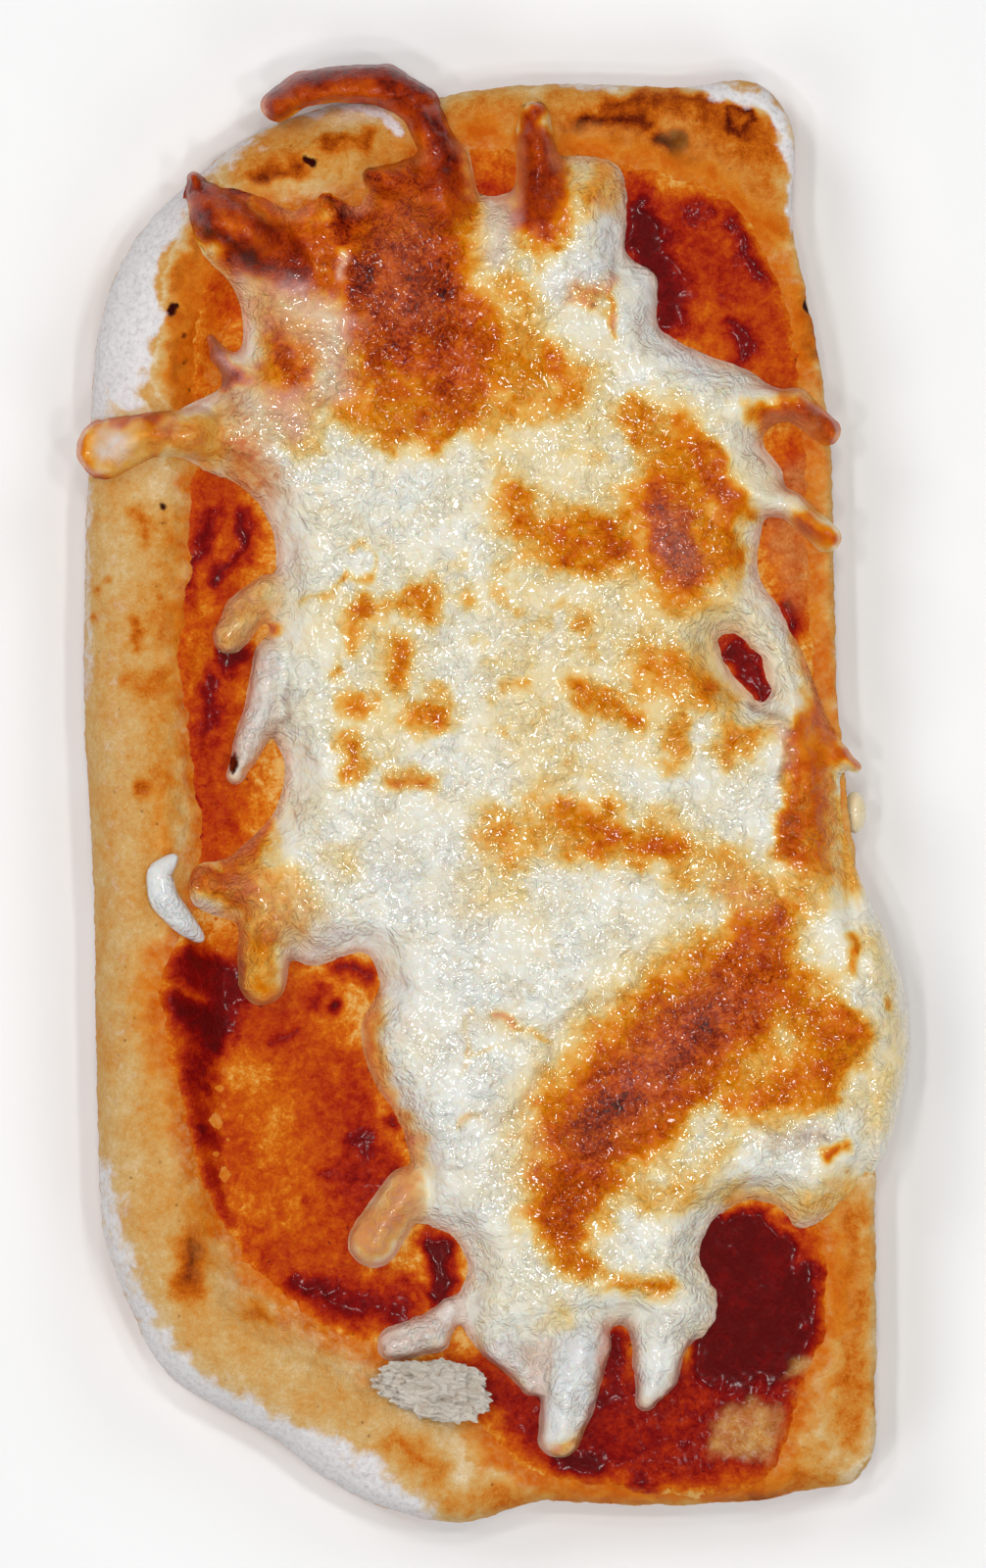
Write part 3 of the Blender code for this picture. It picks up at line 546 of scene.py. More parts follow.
def piece(name, points, faces, material, colors=None):
    """A mesh object from millimetre points, with a colour layer for each named set of four channels."""
    used, packed = np.unique(faces, return_inverse=True)
    data = bpy.data.meshes.new(name)
    shifted = (points[used] + SHIFT) * MM
    data.from_pydata(shifted.tolist(), [], packed.reshape(-1, 3).tolist())
    data.shade_smooth()
    for layer, channels in (colors or {}).items():
        attribute = data.color_attributes.new(layer, "FLOAT_COLOR", "POINT")
        values = np.column_stack([np.clip(channel, 0.0, 1.0) for channel in channels])[used]
        attribute.data.foreach_set("color", values.astype(np.float32).ravel())
    data.materials.append(material)
    obj = bpy.data.objects.new(name, data)
    bpy.context.scene.collection.objects.link(obj)
    return obj


def painted(x, y, strokes, names, ragged=1.0, soften=1.0):
    """{channel: strength at each point}: soft-edged strokes laid one over another, in order.

    A stroke is (channel, strength, softness, then (x, y, half width) along it). Their edges wander.
    """
    wander = 1.0 * noise((x, y), 4.5, 61) + 0.7 * noise((x, y), 1.9, 62) + 0.35 * noise((x, y), 0.9, 63)
    turned = 1.0 * noise((x, y), 7.0, 64) + 0.8 * noise((x, y), 2.7, 65)
    y = y + ragged * (1.0 * noise((x, y), 7.0, 66) + 0.8 * noise((x, y), 2.7, 67))
    x = x + ragged * turned
    values = {name: np.zeros(np.shape(x)) for name in names}
    for name, strength, softness, *spine in strokes:
        spine = spine * 2 if len(spine) == 1 else spine
        spine = [(a, b + 1e-4 * k, w) for k, (a, b, w) in enumerate(spine)]
        softness = softness * soften
        reach = max(w for _, _, w in spine) + 2 * softness + 2.0
        near = (x > min(p[0] for p in spine) - reach) & (x < max(p[0] for p in spine) + reach)
        near &= (y > min(p[1] for p in spine) - reach) & (y < max(p[1] for p in spine) + reach)
        distance, width = along_strand(spine, x[near], y[near])
        over = width - distance + ragged * wander[near] * np.minimum(1.0, 0.25 + 0.3 * width)
        share = smoothstep(over, -softness, softness)
        values[name][near] += (strength - values[name][near]) * share
    return values


# Melted cheese. toast: cream, yellow, orange, brown. The pink channel: the cheese's own pink, and on the
# browned patches a painted pinkish sheen. milky: blue-white. film: so thin that the sauce shows through.
# burn: nearly black. The crease channel: a fold, pressed in as a groove and darkened with painted shade.
CHEESE_PAINT = (
    # The broad fields of browning.
    ("toast", 0.14, 3.0, (6.0, 46.0, 9.0), (12.0, 30.0, 12.0), (10.0, 12.0, 12.0), (26.0, 20.0, 9.0)),
    ("toast", 0.50, 2.6, (-37.0, 76.0, 4.5), (-30.0, 72.0, 5.5), (-25.0, 70.0, 4.5)),
    ("toast", 0.62, 2.4, (-10.0, 80.0, 7.5), (-11.0, 70.0, 11.0), (-9.0, 60.0, 11.5), (-9.5, 55.0, 9.0)),
    ("toast", 0.50, 2.6, (-3.0, 66.0, 5.0), (-1.0, 58.0, 5.6), (-3.0, 52.0, 4.0)),
    ("toast", 0.36, 2.6, (3.0, 66.0, 4.0), (4.0, 56.0, 4.6), (11.0, 54.0, 4.0)),
    # Horn, gap and loop at the upper left.
    ("toast", 0.68, 1.6, (-39.0, 80.5, 2.0), (-36.0, 76.5, 3.6), (-31.0, 73.0, 4.6), (-24.0, 71.0, 6.0),
     (-18.0, 72.0, 6.0)),
    ("toast", 0.98, 1.0, (-40.4, 82.4, 1.6), (-37.0, 80.6, 1.4), (-32.5, 79.4, 1.0)),
    ("toast", 0.98, 1.0, (-40.0, 80.0, 1.4), (-38.0, 75.6, 1.0), (-34.0, 71.8, 1.0), (-29.0, 68.6, 1.3),
     (-25.0, 68.2, 1.6)),
    ("toast", 0.84, 1.2, (-37.5, 78.4, 1.2), (-32.0, 75.4, 1.6), (-27.0, 71.4, 1.8)),
    # A lighter stripe along the horn's crest: a painted highlight.
    ("toast", 0.62, 1.0, (-36.0, 76.4, 0.7), (-31.0, 73.0, 0.8)),
    ("toast", 0.56, 0.8, (-29.4, 77.6, 1.6), (-23.6, 77.2, 1.6)),
    ("film", 0.80, 0.8, (-29.4, 77.6, 1.4), (-23.6, 77.2, 1.5)),
    ("toast", 0.95, 0.9, (-23.0, 79.4, 1.0), (-20.6, 77.6, 1.1), (-19.0, 74.0, 1.3)),
    ("toast", 0.66, 1.2, (-22.4, 74.0, 1.2), (-21.0, 69.0, 1.4)),
    ("toast", 0.36, 0.8, (-19.8, 72.0, 0.5), (-18.6, 66.0, 0.7), (-20.6, 63.0, 0.6)),
    ("toast", 0.42, 0.8, (-16.8, 78.4, 0.6), (-14.0, 73.4, 0.5)),
    ("toast", 0.86, 1.0, (-16.4, 82.0, 1.2), (-12.6, 80.6, 1.6)),
    ("rosy", 0.40, 0.8, (-18.3, 81.5, 0.7), (-16.8, 77.5, 1.0)),
    ("toast", 0.80, 1.2, (-29.0, 91.5, 3.2), (-25.5, 93.6, 3.6), (-20.0, 94.2, 3.6), (-14.5, 94.2, 3.9),
     (-9.8, 91.0, 3.9), (-7.4, 86.0, 3.6), (-6.0, 80.0, 3.6)),
    ("toast", 0.93, 1.2, (-30.0, 93.4, 1.4), (-26.5, 95.2, 1.6), (-20.0, 95.8, 1.6), (-14.5, 96.0, 1.9),
     (-9.0, 93.4, 1.9), (-6.6, 88.0, 1.4), (-6.0, 83.0, 1.0)),
    # A lighter stripe along the loop's inner side: its paler browning, with a painted highlight on it.
    ("toast", 0.66, 1.0, (-27.0, 91.6, 0.9), (-20.0, 92.4, 0.9), (-15.0, 92.2, 1.1), (-12.4, 89.0, 1.4),
     (-10.8, 84.5, 1.4)),
    # The pale patch under the horn, with its purple-grey border.
    ("toast", 0.34, 1.8, (-32.4, 65.0, 2.6), (-26.0, 62.0, 4.4), (-28.0, 53.0, 5.0), (-24.0, 47.0, 3.0)),
    ("milky", 0.45, 1.6, (-33.0, 67.0, 1.6), (-33.0, 58.0, 2.2)),
    ("milky", 0.45, 1.6, (-26.0, 65.0, 2.4), (-21.0, 61.0, 2.0), (-20.8, 54.0, 1.6)),
    ("rosy", 0.55, 2.0, (-30.0, 65.0, 3.6), (-22.0, 61.0, 3.0)),
    ("rosy", 0.70, 1.0, (-19.8, 63.0, 0.8), (-20.0, 56.0, 1.0), (-23.0, 52.0, 1.2), (-29.0, 51.0, 1.2)),
    ("toast", 0.54, 1.6, (-28.8, 60.6, 2.0), (-27.4, 55.0, 2.8), (-24.6, 57.4, 2.2)),
    ("toast", 0.74, 1.0, (-28.4, 58.0, 1.1), (-25.6, 55.6, 1.2)),
    ("toast", 0.90, 0.8, (-37.2, 60.6, 0.9), (-36.0, 57.0, 1.6), (-34.0, 55.0, 1.5)),
    ("rosy", 0.60, 1.6, (-33.0, 51.0, 2.4), (-28.0, 50.0, 2.4)),
    ("milky", 0.35, 1.6, (-32.0, 52.0, 2.0), (-26.0, 49.0, 2.0)),
    # The big browned patch of the top, and the stick that stands out of it.
    ("toast", 0.70, 2.6, (-10.0, 77.0, 5.0), (-11.0, 68.0, 7.4), (-9.0, 60.0, 7.6), (-8.0, 56.0, 6.0)),
    ("toast", 0.78, 1.8, (-14.6, 67.5, 2.4), (-13.0, 63.0, 2.4)),
    ("toast", 0.80, 1.6, (-11.6, 71.5, 2.0), (-8.0, 66.0, 2.0)),
    ("toast", 0.88, 1.0, (-17.3, 70.0, 1.0), (-17.0, 66.5, 1.1)),
    ("toast", 0.68, 1.6, (-4.0, 62.0, 2.6), (-2.0, 58.0, 2.2)),
    ("toast", 0.56, 1.6, (-12.0, 54.0, 3.0), (-8.0, 50.6, 3.0)),
    ("toast", 0.48, 2.0, (-20.0, 56.0, 2.0), (-19.0, 51.0, 2.4), (-14.0, 49.0, 2.4)),
    ("toast", 0.44, 1.6, (3.0, 58.0, 2.4), (3.6, 52.0, 2.4)),
    ("toast", 0.52, 1.4, (7.0, 57.4, 1.6), (10.0, 54.6, 1.8), (8.6, 51.4, 1.6)),
    # Pink over the big browned patch: a painted pinkish sheen.
    ("rosy", 0.16, 2.4, (-12.0, 74.0, 3.0), (-12.0, 66.0, 4.0)),
    ("milky", 0.50, 0.5, (-19.5, 71.0, 0.4), (-20.0, 68.0, 0.4)),
    ("toast", 0.30, 1.6, (-2.0, 74.0, 1.4), (-1.0, 68.0, 1.8)),
    ("toast", 0.16, 1.4, (0.6, 78.5, 1.6), (0.8, 71.5, 2.0)),
    ("milky", 0.55, 1.4, (0.4, 79.0, 1.5), (0.6, 72.0, 1.5)),
    ("rosy", 0.45, 1.4, (0.4, 79.0, 1.8), (0.6, 72.0, 1.8)),
    ("toast", 0.44, 1.2, (6.5, 82.0, 5.0), (6.5, 76.0, 5.0)),
    ("toast", 0.72, 1.2, (5.4, 90.2, 2.4), (5.7, 85.0, 2.8), (6.2, 77.0, 3.4)),
    ("toast", 0.84, 1.0, (5.0, 89.5, 1.0), (5.0, 83.5, 1.2), (7.4, 79.5, 1.8), (6.4, 75.5, 1.6)),
    ("burn", 0.80, 0.5, (3.6, 91.0, 0.5), (5.6, 91.6, 0.5), (7.4, 91.0, 0.5)),
    ("toast", 0.20, 1.4, (14.0, 83.0, 3.0), (13.6, 77.0, 3.0)),
    ("rosy", 0.55, 1.2, (16.6, 82.0, 1.0), (16.8, 78.0, 0.9)),
    ("toast", 0.44, 1.4, (14.0, 81.0, 1.4), (13.4, 78.6, 1.5)),
    ("toast", 0.05, 1.2, (14.6, 74.0, 2.6), (14.0, 68.5, 3.0), (9.0, 66.5, 1.8)),
    ("milky", 0.85, 1.4, (15.2, 74.6, 2.4), (15.0, 70.0, 2.8), (9.5, 67.8, 1.8)),
    ("toast", 0.62, 1.0, (10.4, 66.4, 0.8), (13.4, 65.8, 1.0)),
    ("rosy", 0.55, 1.0, (10.4, 66.8, 1.2), (13.4, 66.2, 1.2)),
    ("burn", 0.55, 0.5, (13.5, 65.2, 0.5)),
    ("milky", 0.60, 1.4, (19.6, 70.4, 2.2), (19.8, 63.4, 2.8), (27.0, 56.0, 2.4)),
    ("toast", 0.56, 0.6, (15.8, 68.2, 0.4), (15.2, 66.0, 0.5), (15.8, 63.5, 0.5), (16.5, 61.0, 0.4)),
    ("toast", 0.46, 1.2, (18.6, 52.0, 1.4), (20.0, 50.5, 1.4)),
    # Left of the middle: nub, salmon film, flake and flap.
    ("toast", 0.36, 1.0, (-51.0, 45.6, 4.6), (-44.0, 47.4, 3.4), (-38.0, 47.0, 3.4)),
    ("milky", 0.80, 1.0, (-50.3, 46.0, 2.0)),
    ("toast", 0.58, 0.8, (-54.0, 47.0, 0.9), (-54.2, 43.5, 0.9)),
    ("toast", 0.78, 0.8, (-54.0, 49.2, 0.8), (-50.0, 50.2, 0.9), (-44.0, 50.4, 1.0)),
    ("toast", 0.86, 0.5, (-54.0, 41.8, 0.5), (-51.0, 41.0, 0.5), (-47.0, 43.0, 0.6), (-44.5, 44.0, 0.5)),
    ("film", 0.65, 0.8, (-45.0, 46.8, 1.6), (-40.0, 47.0, 2.0)),
    ("rosy", 0.85, 0.6, (-42.0, 48.5, 1.5)),
    ("burn", 0.45, 0.5, (-44.3, 48.6, 0.4), (-44.3, 46.8, 0.5), (-42.0, 46.0, 0.4)),
    ("toast", 0.30, 2.0, (-35.0, 48.0, 3.0), (-31.6, 41.5, 2.4)),
    ("film", 0.60, 2.0, (-34.0, 46.0, 3.0), (-31.0, 40.5, 2.6)),
    ("rosy", 0.85, 1.6, (-33.5, 48.5, 2.4), (-29.8, 41.5, 2.4)),
    ("toast", 0.32, 1.4, (-30.5, 25.8, 2.4), (-33.2, 22.8, 3.0), (-35.0, 20.6, 2.4)),
    ("rosy", 0.65, 1.2, (-31.5, 25.5, 1.8), (-34.5, 22.5, 2.2)),
    ("film", 0.45, 0.8, (-36.8, 23.5, 0.7), (-37.2, 20.2, 0.8), (-34.5, 18.4, 0.8)),
    ("toast", 0.62, 0.6, (-29.5, 22.0, 0.7)),
    ("milky", 0.55, 1.4, (-29.6, 17.5, 1.6), (-30.6, 11.0, 1.8), (-32.8, 5.5, 1.2)),
    ("rosy", 0.60, 1.2, (-30.6, 17.0, 1.6), (-31.8, 11.0, 1.6), (-33.4, 5.0, 1.2)),
    ("crease", 0.8, 0.4, (-27.5, 15.0, 0.3), (-28.5, 10.0, 0.4), (-30.0, 5.0, 0.4), (-32.5, 2.0, 0.3)),
    ("burn", 0.85, 0.4, (-35.0, 5.4, 0.5), (-34.8, 3.6, 0.4)),
    ("toast", 0.52, 1.0, (-31.5, 2.4, 0.9), (-29.3, 0.6, 1.0)),
    # Scattered browning on the left half of the sheet.
    ("toast", 0.38, 0.5, (-19.6, 31.6, 0.4), (-17.6, 33.0, 0.4), (-15.4, 31.6, 0.4), (-15.4, 29.4, 0.4),
     (-17.6, 28.2, 0.4), (-19.8, 29.6, 0.4), (-21.5, 25.5, 0.4), (-25.0, 25.5, 0.3)),
    ("toast", 0.17, 2.6, (-19.0, 22.0, 3.6), (-12.0, 20.0, 4.0), (-16.0, 8.0, 4.6)),
    ("toast", 0.50, 1.2, (-16.6, 25.2, 1.2), (-9.6, 25.0, 1.6)),
    ("toast", 0.62, 0.9, (-17.2, 24.0, 0.8)),
    ("toast", 0.54, 1.2, (-18.6, 22.4, 1.0), (-18.4, 19.6, 1.0)),
    ("toast", 0.52, 1.2, (-13.0, 19.0, 1.2), (-13.0, 15.2, 1.3)),
    ("toast", 0.42, 1.0, (-21.0, 16.0, 0.9)),
    ("toast", 0.52, 1.3, (-18.0, 11.5, 1.8)),
    ("toast", 0.50, 1.4, (-10.0, 9.6, 2.2), (-6.4, 11.2, 2.2)),
    ("toast", 0.55, 1.3, (-18.6, 6.0, 1.4), (-18.4, 2.2, 1.5)),
    ("toast", 0.46, 1.2, (-13.0, 2.0, 1.0), (-8.2, 1.6, 1.4)),
    ("toast", 0.44, 1.4, (-9.6, 26.0, 2.0), (-8.0, 24.0, 2.0)),
    ("toast", 0.36, 1.2, (-3.0, 26.2, 1.6)),
    # Right of the middle.
    ("toast", 0.46, 2.8, (23.0, 47.0, 5.0), (24.5, 38.0, 6.0), (25.0, 30.0, 6.0)),
    ("toast", 0.42, 2.4, (3.0, 37.0, 3.0), (10.0, 33.4, 4.0), (17.0, 33.0, 4.0)),
    ("toast", 0.64, 2.0, (22.4, 40.0, 2.2), (23.0, 35.0, 3.0), (25.4, 30.0, 3.0)),
    ("toast", 0.76, 1.6, (22.6, 37.6, 1.4), (24.0, 33.0, 1.8), (26.0, 29.6, 1.6)),
    ("rosy", 0.45, 1.6, (23.0, 37.0, 1.6), (25.6, 30.4, 2.2)),
    ("toast", 0.56, 1.6, (28.0, 45.0, 2.4), (31.0, 40.0, 2.6), (30.6, 32.0, 2.6)),
    ("toast", 0.66, 1.2, (30.0, 42.0, 1.2), (33.0, 38.6, 1.2)),
    ("toast", 0.54, 1.4, (3.0, 38.6, 1.8), (3.4, 36.4, 2.0)),
    ("toast", 0.56, 1.6, (10.0, 34.0, 2.4), (15.6, 33.2, 2.6)),
    ("toast", 0.68, 1.2, (14.6, 34.2, 1.2), (16.4, 32.8, 1.2)),
    ("toast", 0.58, 1.2, (9.4, 30.2, 1.4), (12.6, 29.6, 1.2)),
    ("toast", 0.50, 1.2, (20.0, 46.4, 1.4), (18.0, 49.0, 1.5)),
    ("toast", 0.10, 1.4, (31.0, 49.0, 1.4), (34.0, 44.4, 2.0), (37.0, 40.6, 2.2), (41.6, 38.6, 1.6)),
    ("milky", 0.45, 1.2, (31.6, 47.6, 1.0), (34.4, 44.8, 1.4)),
    ("toast", 0.78, 1.4, (36.0, 50.0, 2.2), (40.0, 49.6, 3.0), (44.8, 47.6, 2.2)),
    ("film", 0.50, 1.2, (37.0, 48.0, 2.0), (42.0, 46.8, 1.4)),
    ("toast", 0.70, 1.2, (41.0, 36.6, 1.0), (44.8, 33.5, 1.6)),
    ("burn", 0.55, 0.6, (45.8, 47.4, 0.6)),
    ("burn", 0.45, 0.6, (45.4, 33.4, 0.6)),
    ("toast", 0.42, 2.0, (20.6, 17.4, 3.2), (26.0, 14.6, 3.4), (30.0, 12.0, 2.0)),
    ("toast", 0.60, 1.0, (28.5, 14.5, 1.2)),
    ("toast", 0.50, 1.2, (22.0, 16.4, 1.4)),
    ("toast", 0.52, 1.4, (11.0, 14.6, 1.2), (14.6, 11.6, 2.0), (19.0, 9.6, 1.4)),
    ("toast", 0.38, 1.4, (12.6, 22.4, 2.0)),
    ("toast", 0.44, 1.6, (32.0, 6.6, 3.0), (36.6, 8.0, 2.0)),
    ("toast", 0.42, 1.4, (24.0, 8.6, 2.2), (24.4, 4.6, 2.0)),
    ("toast", 0.30, 1.4, (7.0, 0.0, 1.6)),
    ("toast", 0.62, 1.4, (42.0, 21.0, 2.0), (43.5, 12.0, 2.4), (42.5, 2.0, 2.8), (42.0, -6.0, 3.0)),
    ("film", 0.50, 1.6, (42.0, 20.0, 1.6), (42.6, 12.0, 2.0), (42.0, 2.0, 2.0), (41.0, -8.0, 2.4)),
    ("toast", 0.24, 0.6, (41.0, 16.0, 0.5), (41.4, 14.0, 0.5)),
    ("toast", 0.24, 0.6, (42.0, 19.0, 0.5), (42.4, 17.0, 0.4)),
    ("milky", 0.55, 0.8, (34.0, 11.0, 0.7), (37.0, 9.8, 0.8), (38.6, 7.0, 0.8), (38.4, 4.0, 0.7), (36.6, 1.5, 0.6)),
    ("crease", 0.7, 0.4, (34.2, 12.0, 0.3), (37.4, 11.0, 0.3), (39.6, 8.0, 0.3), (39.6, 4.6, 0.3), (37.4, 1.0, 0.3)),
    ("toast", 0.66, 0.8, (44.6, 5.6, 1.2), (48.0, 3.6, 0.9)),
    ("toast", 0.58, 1.4, (42.4, 6.0, 3.4), (42.4, -4.0, 3.6), (42.6, -9.6, 3.0)),
    ("film", 0.45, 1.4, (42.4, 4.0, 2.6), (41.6, -8.0, 2.6)),
    ("toast", 0.72, 1.0, (39.6, 0.0, 0.8), (39.6, -8.0, 1.2), (42.6, -10.6, 1.0)),
    ("toast", 0.36, 1.0, (44.6, 2.0, 0.8), (45.0, -4.0, 0.8)),
    # Lower left: lump, lobe and finger.
    ("milky", 0.35, 4.0, (-10.0, -8.0, 6.0), (-6.0, -30.0, 8.0), (-4.0, -50.0, 6.0)),
    ("toast", 0.30, 2.0, (-33.0, -8.0, 3.0), (-28.0, -12.0, 3.6), (-26.0, -16.0, 3.0)),
    ("rosy", 0.45, 1.8, (-33.0, -12.0, 2.4), (-28.0, -15.0, 2.8), (-24.0, -18.5, 2.6)),
    ("toast", 0.62, 1.4, (-39.6, -11.6, 2.8), (-34.0, -12.0, 3.0)),
    ("toast", 0.66, 1.0, (-34.0, -9.0, 1.6), (-30.0, -5.0, 1.4)),
    ("film", 0.40, 1.4, (-38.0, -12.8, 1.8), (-34.0, -14.4, 1.8)),
    ("toast", 0.44, 1.4, (-31.0, -16.0, 3.0), (-31.0, -21.0, 3.0), (-30.4, -26.0, 2.8)),
    ("rosy", 0.50, 1.2, (-29.0, -18.0, 2.0), (-26.0, -17.0, 2.0), (-24.0, -21.0, 1.6)),
    ("toast", 0.58, 0.9, (-33.6, -18.0, 0.9), (-33.4, -26.0, 0.9)),
    ("milky", 0.60, 1.2, (-24.0, -22.0, 1.4), (-20.0, -18.6, 2.0), (-17.6, -21.0, 1.4)),
    ("toast", 0.18, 1.6, (-20.0, -9.0, 2.2)),
    ("film", 0.60, 1.4, (-17.2, -27.0, 1.2), (-16.2, -36.0, 1.4), (-13.0, -43.0, 1.6), (-11.0, -50.0, 1.6)),
    ("toast", 0.50, 1.2, (-16.8, -27.0, 1.6), (-15.6, -36.0, 1.8), (-12.4, -43.0, 1.8), (-10.4, -50.0, 1.8)),
    ("burn", 0.35, 0.5, (-9.5, -37.0, 0.5)),
    ("rosy", 0.40, 1.0, (-11.6, -31.5, 0.9), (-10.4, -30.5, 0.9)),
    # Lower middle and the long diagonal patch.
    ("toast", 0.20, 2.4, (-3.0, -13.0, 3.0), (2.0, -12.0, 3.0)),
    ("toast", 0.38, 2.4, (0.0, -5.0, 3.4), (10.0, -5.0, 4.0), (20.0, -6.0, 3.6), (30.0, -9.0, 3.0)),
    ("toast", 0.40, 1.5, (1.4, -4.0, 1.8), (1.6, -8.4, 2.0)),
    ("toast", 0.52, 1.6, (10.0, -4.0, 2.4), (14.0, -4.4, 2.6)),
    ("toast", 0.56, 1.4, (15.0, -5.6, 1.5), (20.0, -7.2, 1.6), (24.0, -6.8, 1.2)),
    ("toast", 0.35, 2.2, (27.0, -11.0, 3.4), (36.0, -11.5, 3.4), (42.0, -13.0, 3.0)),
    ("toast", 0.40, 1.6, (46.6, -3.0, 1.4), (47.8, -12.0, 1.6)),
    ("rosy", 0.35, 1.8, (31.0, -13.0, 2.0), (36.0, -14.0, 1.6)),
    ("toast", 0.30, 3.0, (27.0, -22.0, 5.0), (17.0, -31.0, 6.0), (7.0, -42.0, 4.6), (6.0, -54.0, 4.0)),
    ("toast", 0.52, 2.6, (37.0, -19.0, 4.4), (35.0, -23.0, 6.0), (30.0, -29.0, 8.4), (21.0, -37.0, 9.0),
     (14.0, -45.0, 8.0), (10.0, -54.0, 5.6)),
    ("toast", 0.50, 2.4, (40.0, -26.0, 4.0), (44.0, -32.0, 5.6), (42.0, -38.0, 4.6), (34.0, -40.0, 4.0)),
    ("toast", 0.56, 1.6, (44.0, -31.0, 3.0), (47.0, -33.0, 2.6), (42.0, -39.0, 2.0)),
    ("toast", 0.62, 2.4, (35.6, -19.0, 3.6), (33.6, -26.0, 5.0), (26.0, -33.0, 5.8), (17.0, -41.0, 6.2),
     (11.0, -50.0, 4.4)),
    ("toast", 0.72, 2.0, (35.0, -22.0, 2.0), (32.0, -28.0, 2.6), (25.0, -34.0, 3.4), (15.0, -42.0, 3.4),
     (11.0, -49.0, 2.4)),
    ("toast", 0.84, 1.4, (28.5, -31.4, 1.0), (24.0, -35.0, 1.4)),
    ("toast", 0.84, 1.4, (17.5, -40.0, 1.2), (13.5, -43.6, 1.4)),
    # Pink over the diagonal patch: a painted pinkish sheen.
    ("rosy", 0.14, 2.4, (30.0, -28.0, 3.0), (20.0, -37.0, 3.6), (13.0, -45.0, 3.0)),
    ("toast", 0.44, 0.9, (37.0, -35.0, 0.7), (33.6, -38.6, 0.9), (30.6, -42.0, 0.8)),
    ("toast", 0.66, 1.4, (10.0, -52.0, 2.2), (9.0, -57.0, 1.8)),
    ("toast", 0.56, 1.6, (9.0, -61.0, 2.2), (13.0, -63.0, 2.2)),
    ("toast", 0.50, 1.2, (17.0, -65.0, 1.4), (23.0, -65.0, 1.5)),
    ("toast", 0.20, 1.4, (9.0, -69.0, 2.0)),
    ("toast", 0.32, 1.8, (21.0, -54.0, 2.6), (26.0, -52.0, 2.4), (31.0, -47.0, 2.0)),
    ("toast", 0.06, 1.4, (42.6, -18.4, 1.8), (45.0, -20.6, 1.8)),
    ("toast", 0.20, 1.8, (50.6, -20.0, 2.0), (53.2, -27.0, 1.8), (53.6, -34.0, 1.8), (51.0, -43.0, 2.6)),
    ("toast", 0.58, 0.8, (47.8, -19.4, 0.6), (47.2, -23.6, 0.6)),
    ("toast", 0.60, 0.6, (52.6, -27.4, 0.4), (52.9, -29.0, 0.4)),
    ("toast", 0.56, 0.9, (44.0, -48.6, 1.0), (46.6, -46.8, 1.0)),
    ("rosy", 0.50, 1.0, (38.0, -46.4, 0.8), (42.6, -45.6, 0.8)),
    ("crease", 0.5, 0.6, (35.0, -44.0, 0.4), (40.0, -45.6, 0.4), (44.0, -46.0, 0.4)),
    ("crease", 0.5, 0.6, (21.0, -20.0, 0.3), (19.0, -25.0, 0.3), (14.0, -28.0, 0.4), (8.0, -31.0, 0.3),
     (7.0, -35.0, 0.3), (4.0, -41.0, 0.4), (0.0, -45.0, 0.3)),
    ("toast", 0.18, 1.4, (-3.0, -30.0, 0.8), (1.0, -31.0, 1.2), (7.0, -33.0, 1.4)),
    ("toast", 0.44, 0.4, (0.0, -30.5, 0.2), (4.0, -31.2, 0.3), (8.0, -32.8, 0.3)),
    ("toast", 0.30, 0.4, (-3.4, -34.2, 0.2), (1.6, -34.4, 0.2)),
    ("toast", 0.26, 0.4, (-4.0, -29.0, 0.2), (-3.5, -35.6, 0.2), (-5.0, -38.0, 0.2)),
    ("toast", 0.34, 0.5, (-4.4, -43.5, 0.3), (-2.0, -42.6, 0.4)),
    ("toast", 0.50, 0.5, (-2.8, -28.6, 0.6)),
    # The bottom: clear drop, scrap and tongues.
    ("toast", 0.40, 1.2, (-11.6, -53.4, 2.6), (-16.0, -59.4, 3.4)),
    ("rosy", 0.85, 1.2, (-12.0, -54.4, 2.2), (-16.2, -59.6, 2.6)),
    ("milky", 0.60, 0.8, (-4.0, -68.0, 2.4), (-8.0, -71.0, 2.6), (-13.6, -73.2, 2.4)),
    ("rosy", 0.60, 0.8, (-6.0, -70.6, 1.6), (-10.0, -72.0, 1.6), (-13.6, -73.6, 1.4)),
    ("milky", 0.70, 1.0, (1.0, -73.5, 2.2), (4.0, -76.6, 1.6), (5.0, -78.4, 1.2)),
    ("rosy", 0.35, 1.0, (1.0, -73.5, 2.2), (4.4, -77.4, 1.6)),
    ("milky", 0.90, 1.2, (11.4, -73.0, 3.4), (10.0, -80.5, 3.0), (9.0, -84.6, 2.2)),
    ("toast", 0.52, 0.8, (12.0, -85.6, 0.9), (9.6, -87.6, 0.9)),
    ("milky", 0.60, 1.2, (22.0, -70.5, 3.0), (21.6, -77.5, 2.2), (20.4, -80.2, 1.2)),
    ("film", 0.60, 0.8, (14.6, -71.6, 1.0), (14.8, -77.0, 0.8)),
    ("toast", 0.30, 1.4, (32.0, -53.5, 2.0), (40.0, -55.5, 2.0), (47.0, -52.5, 2.0)),
)

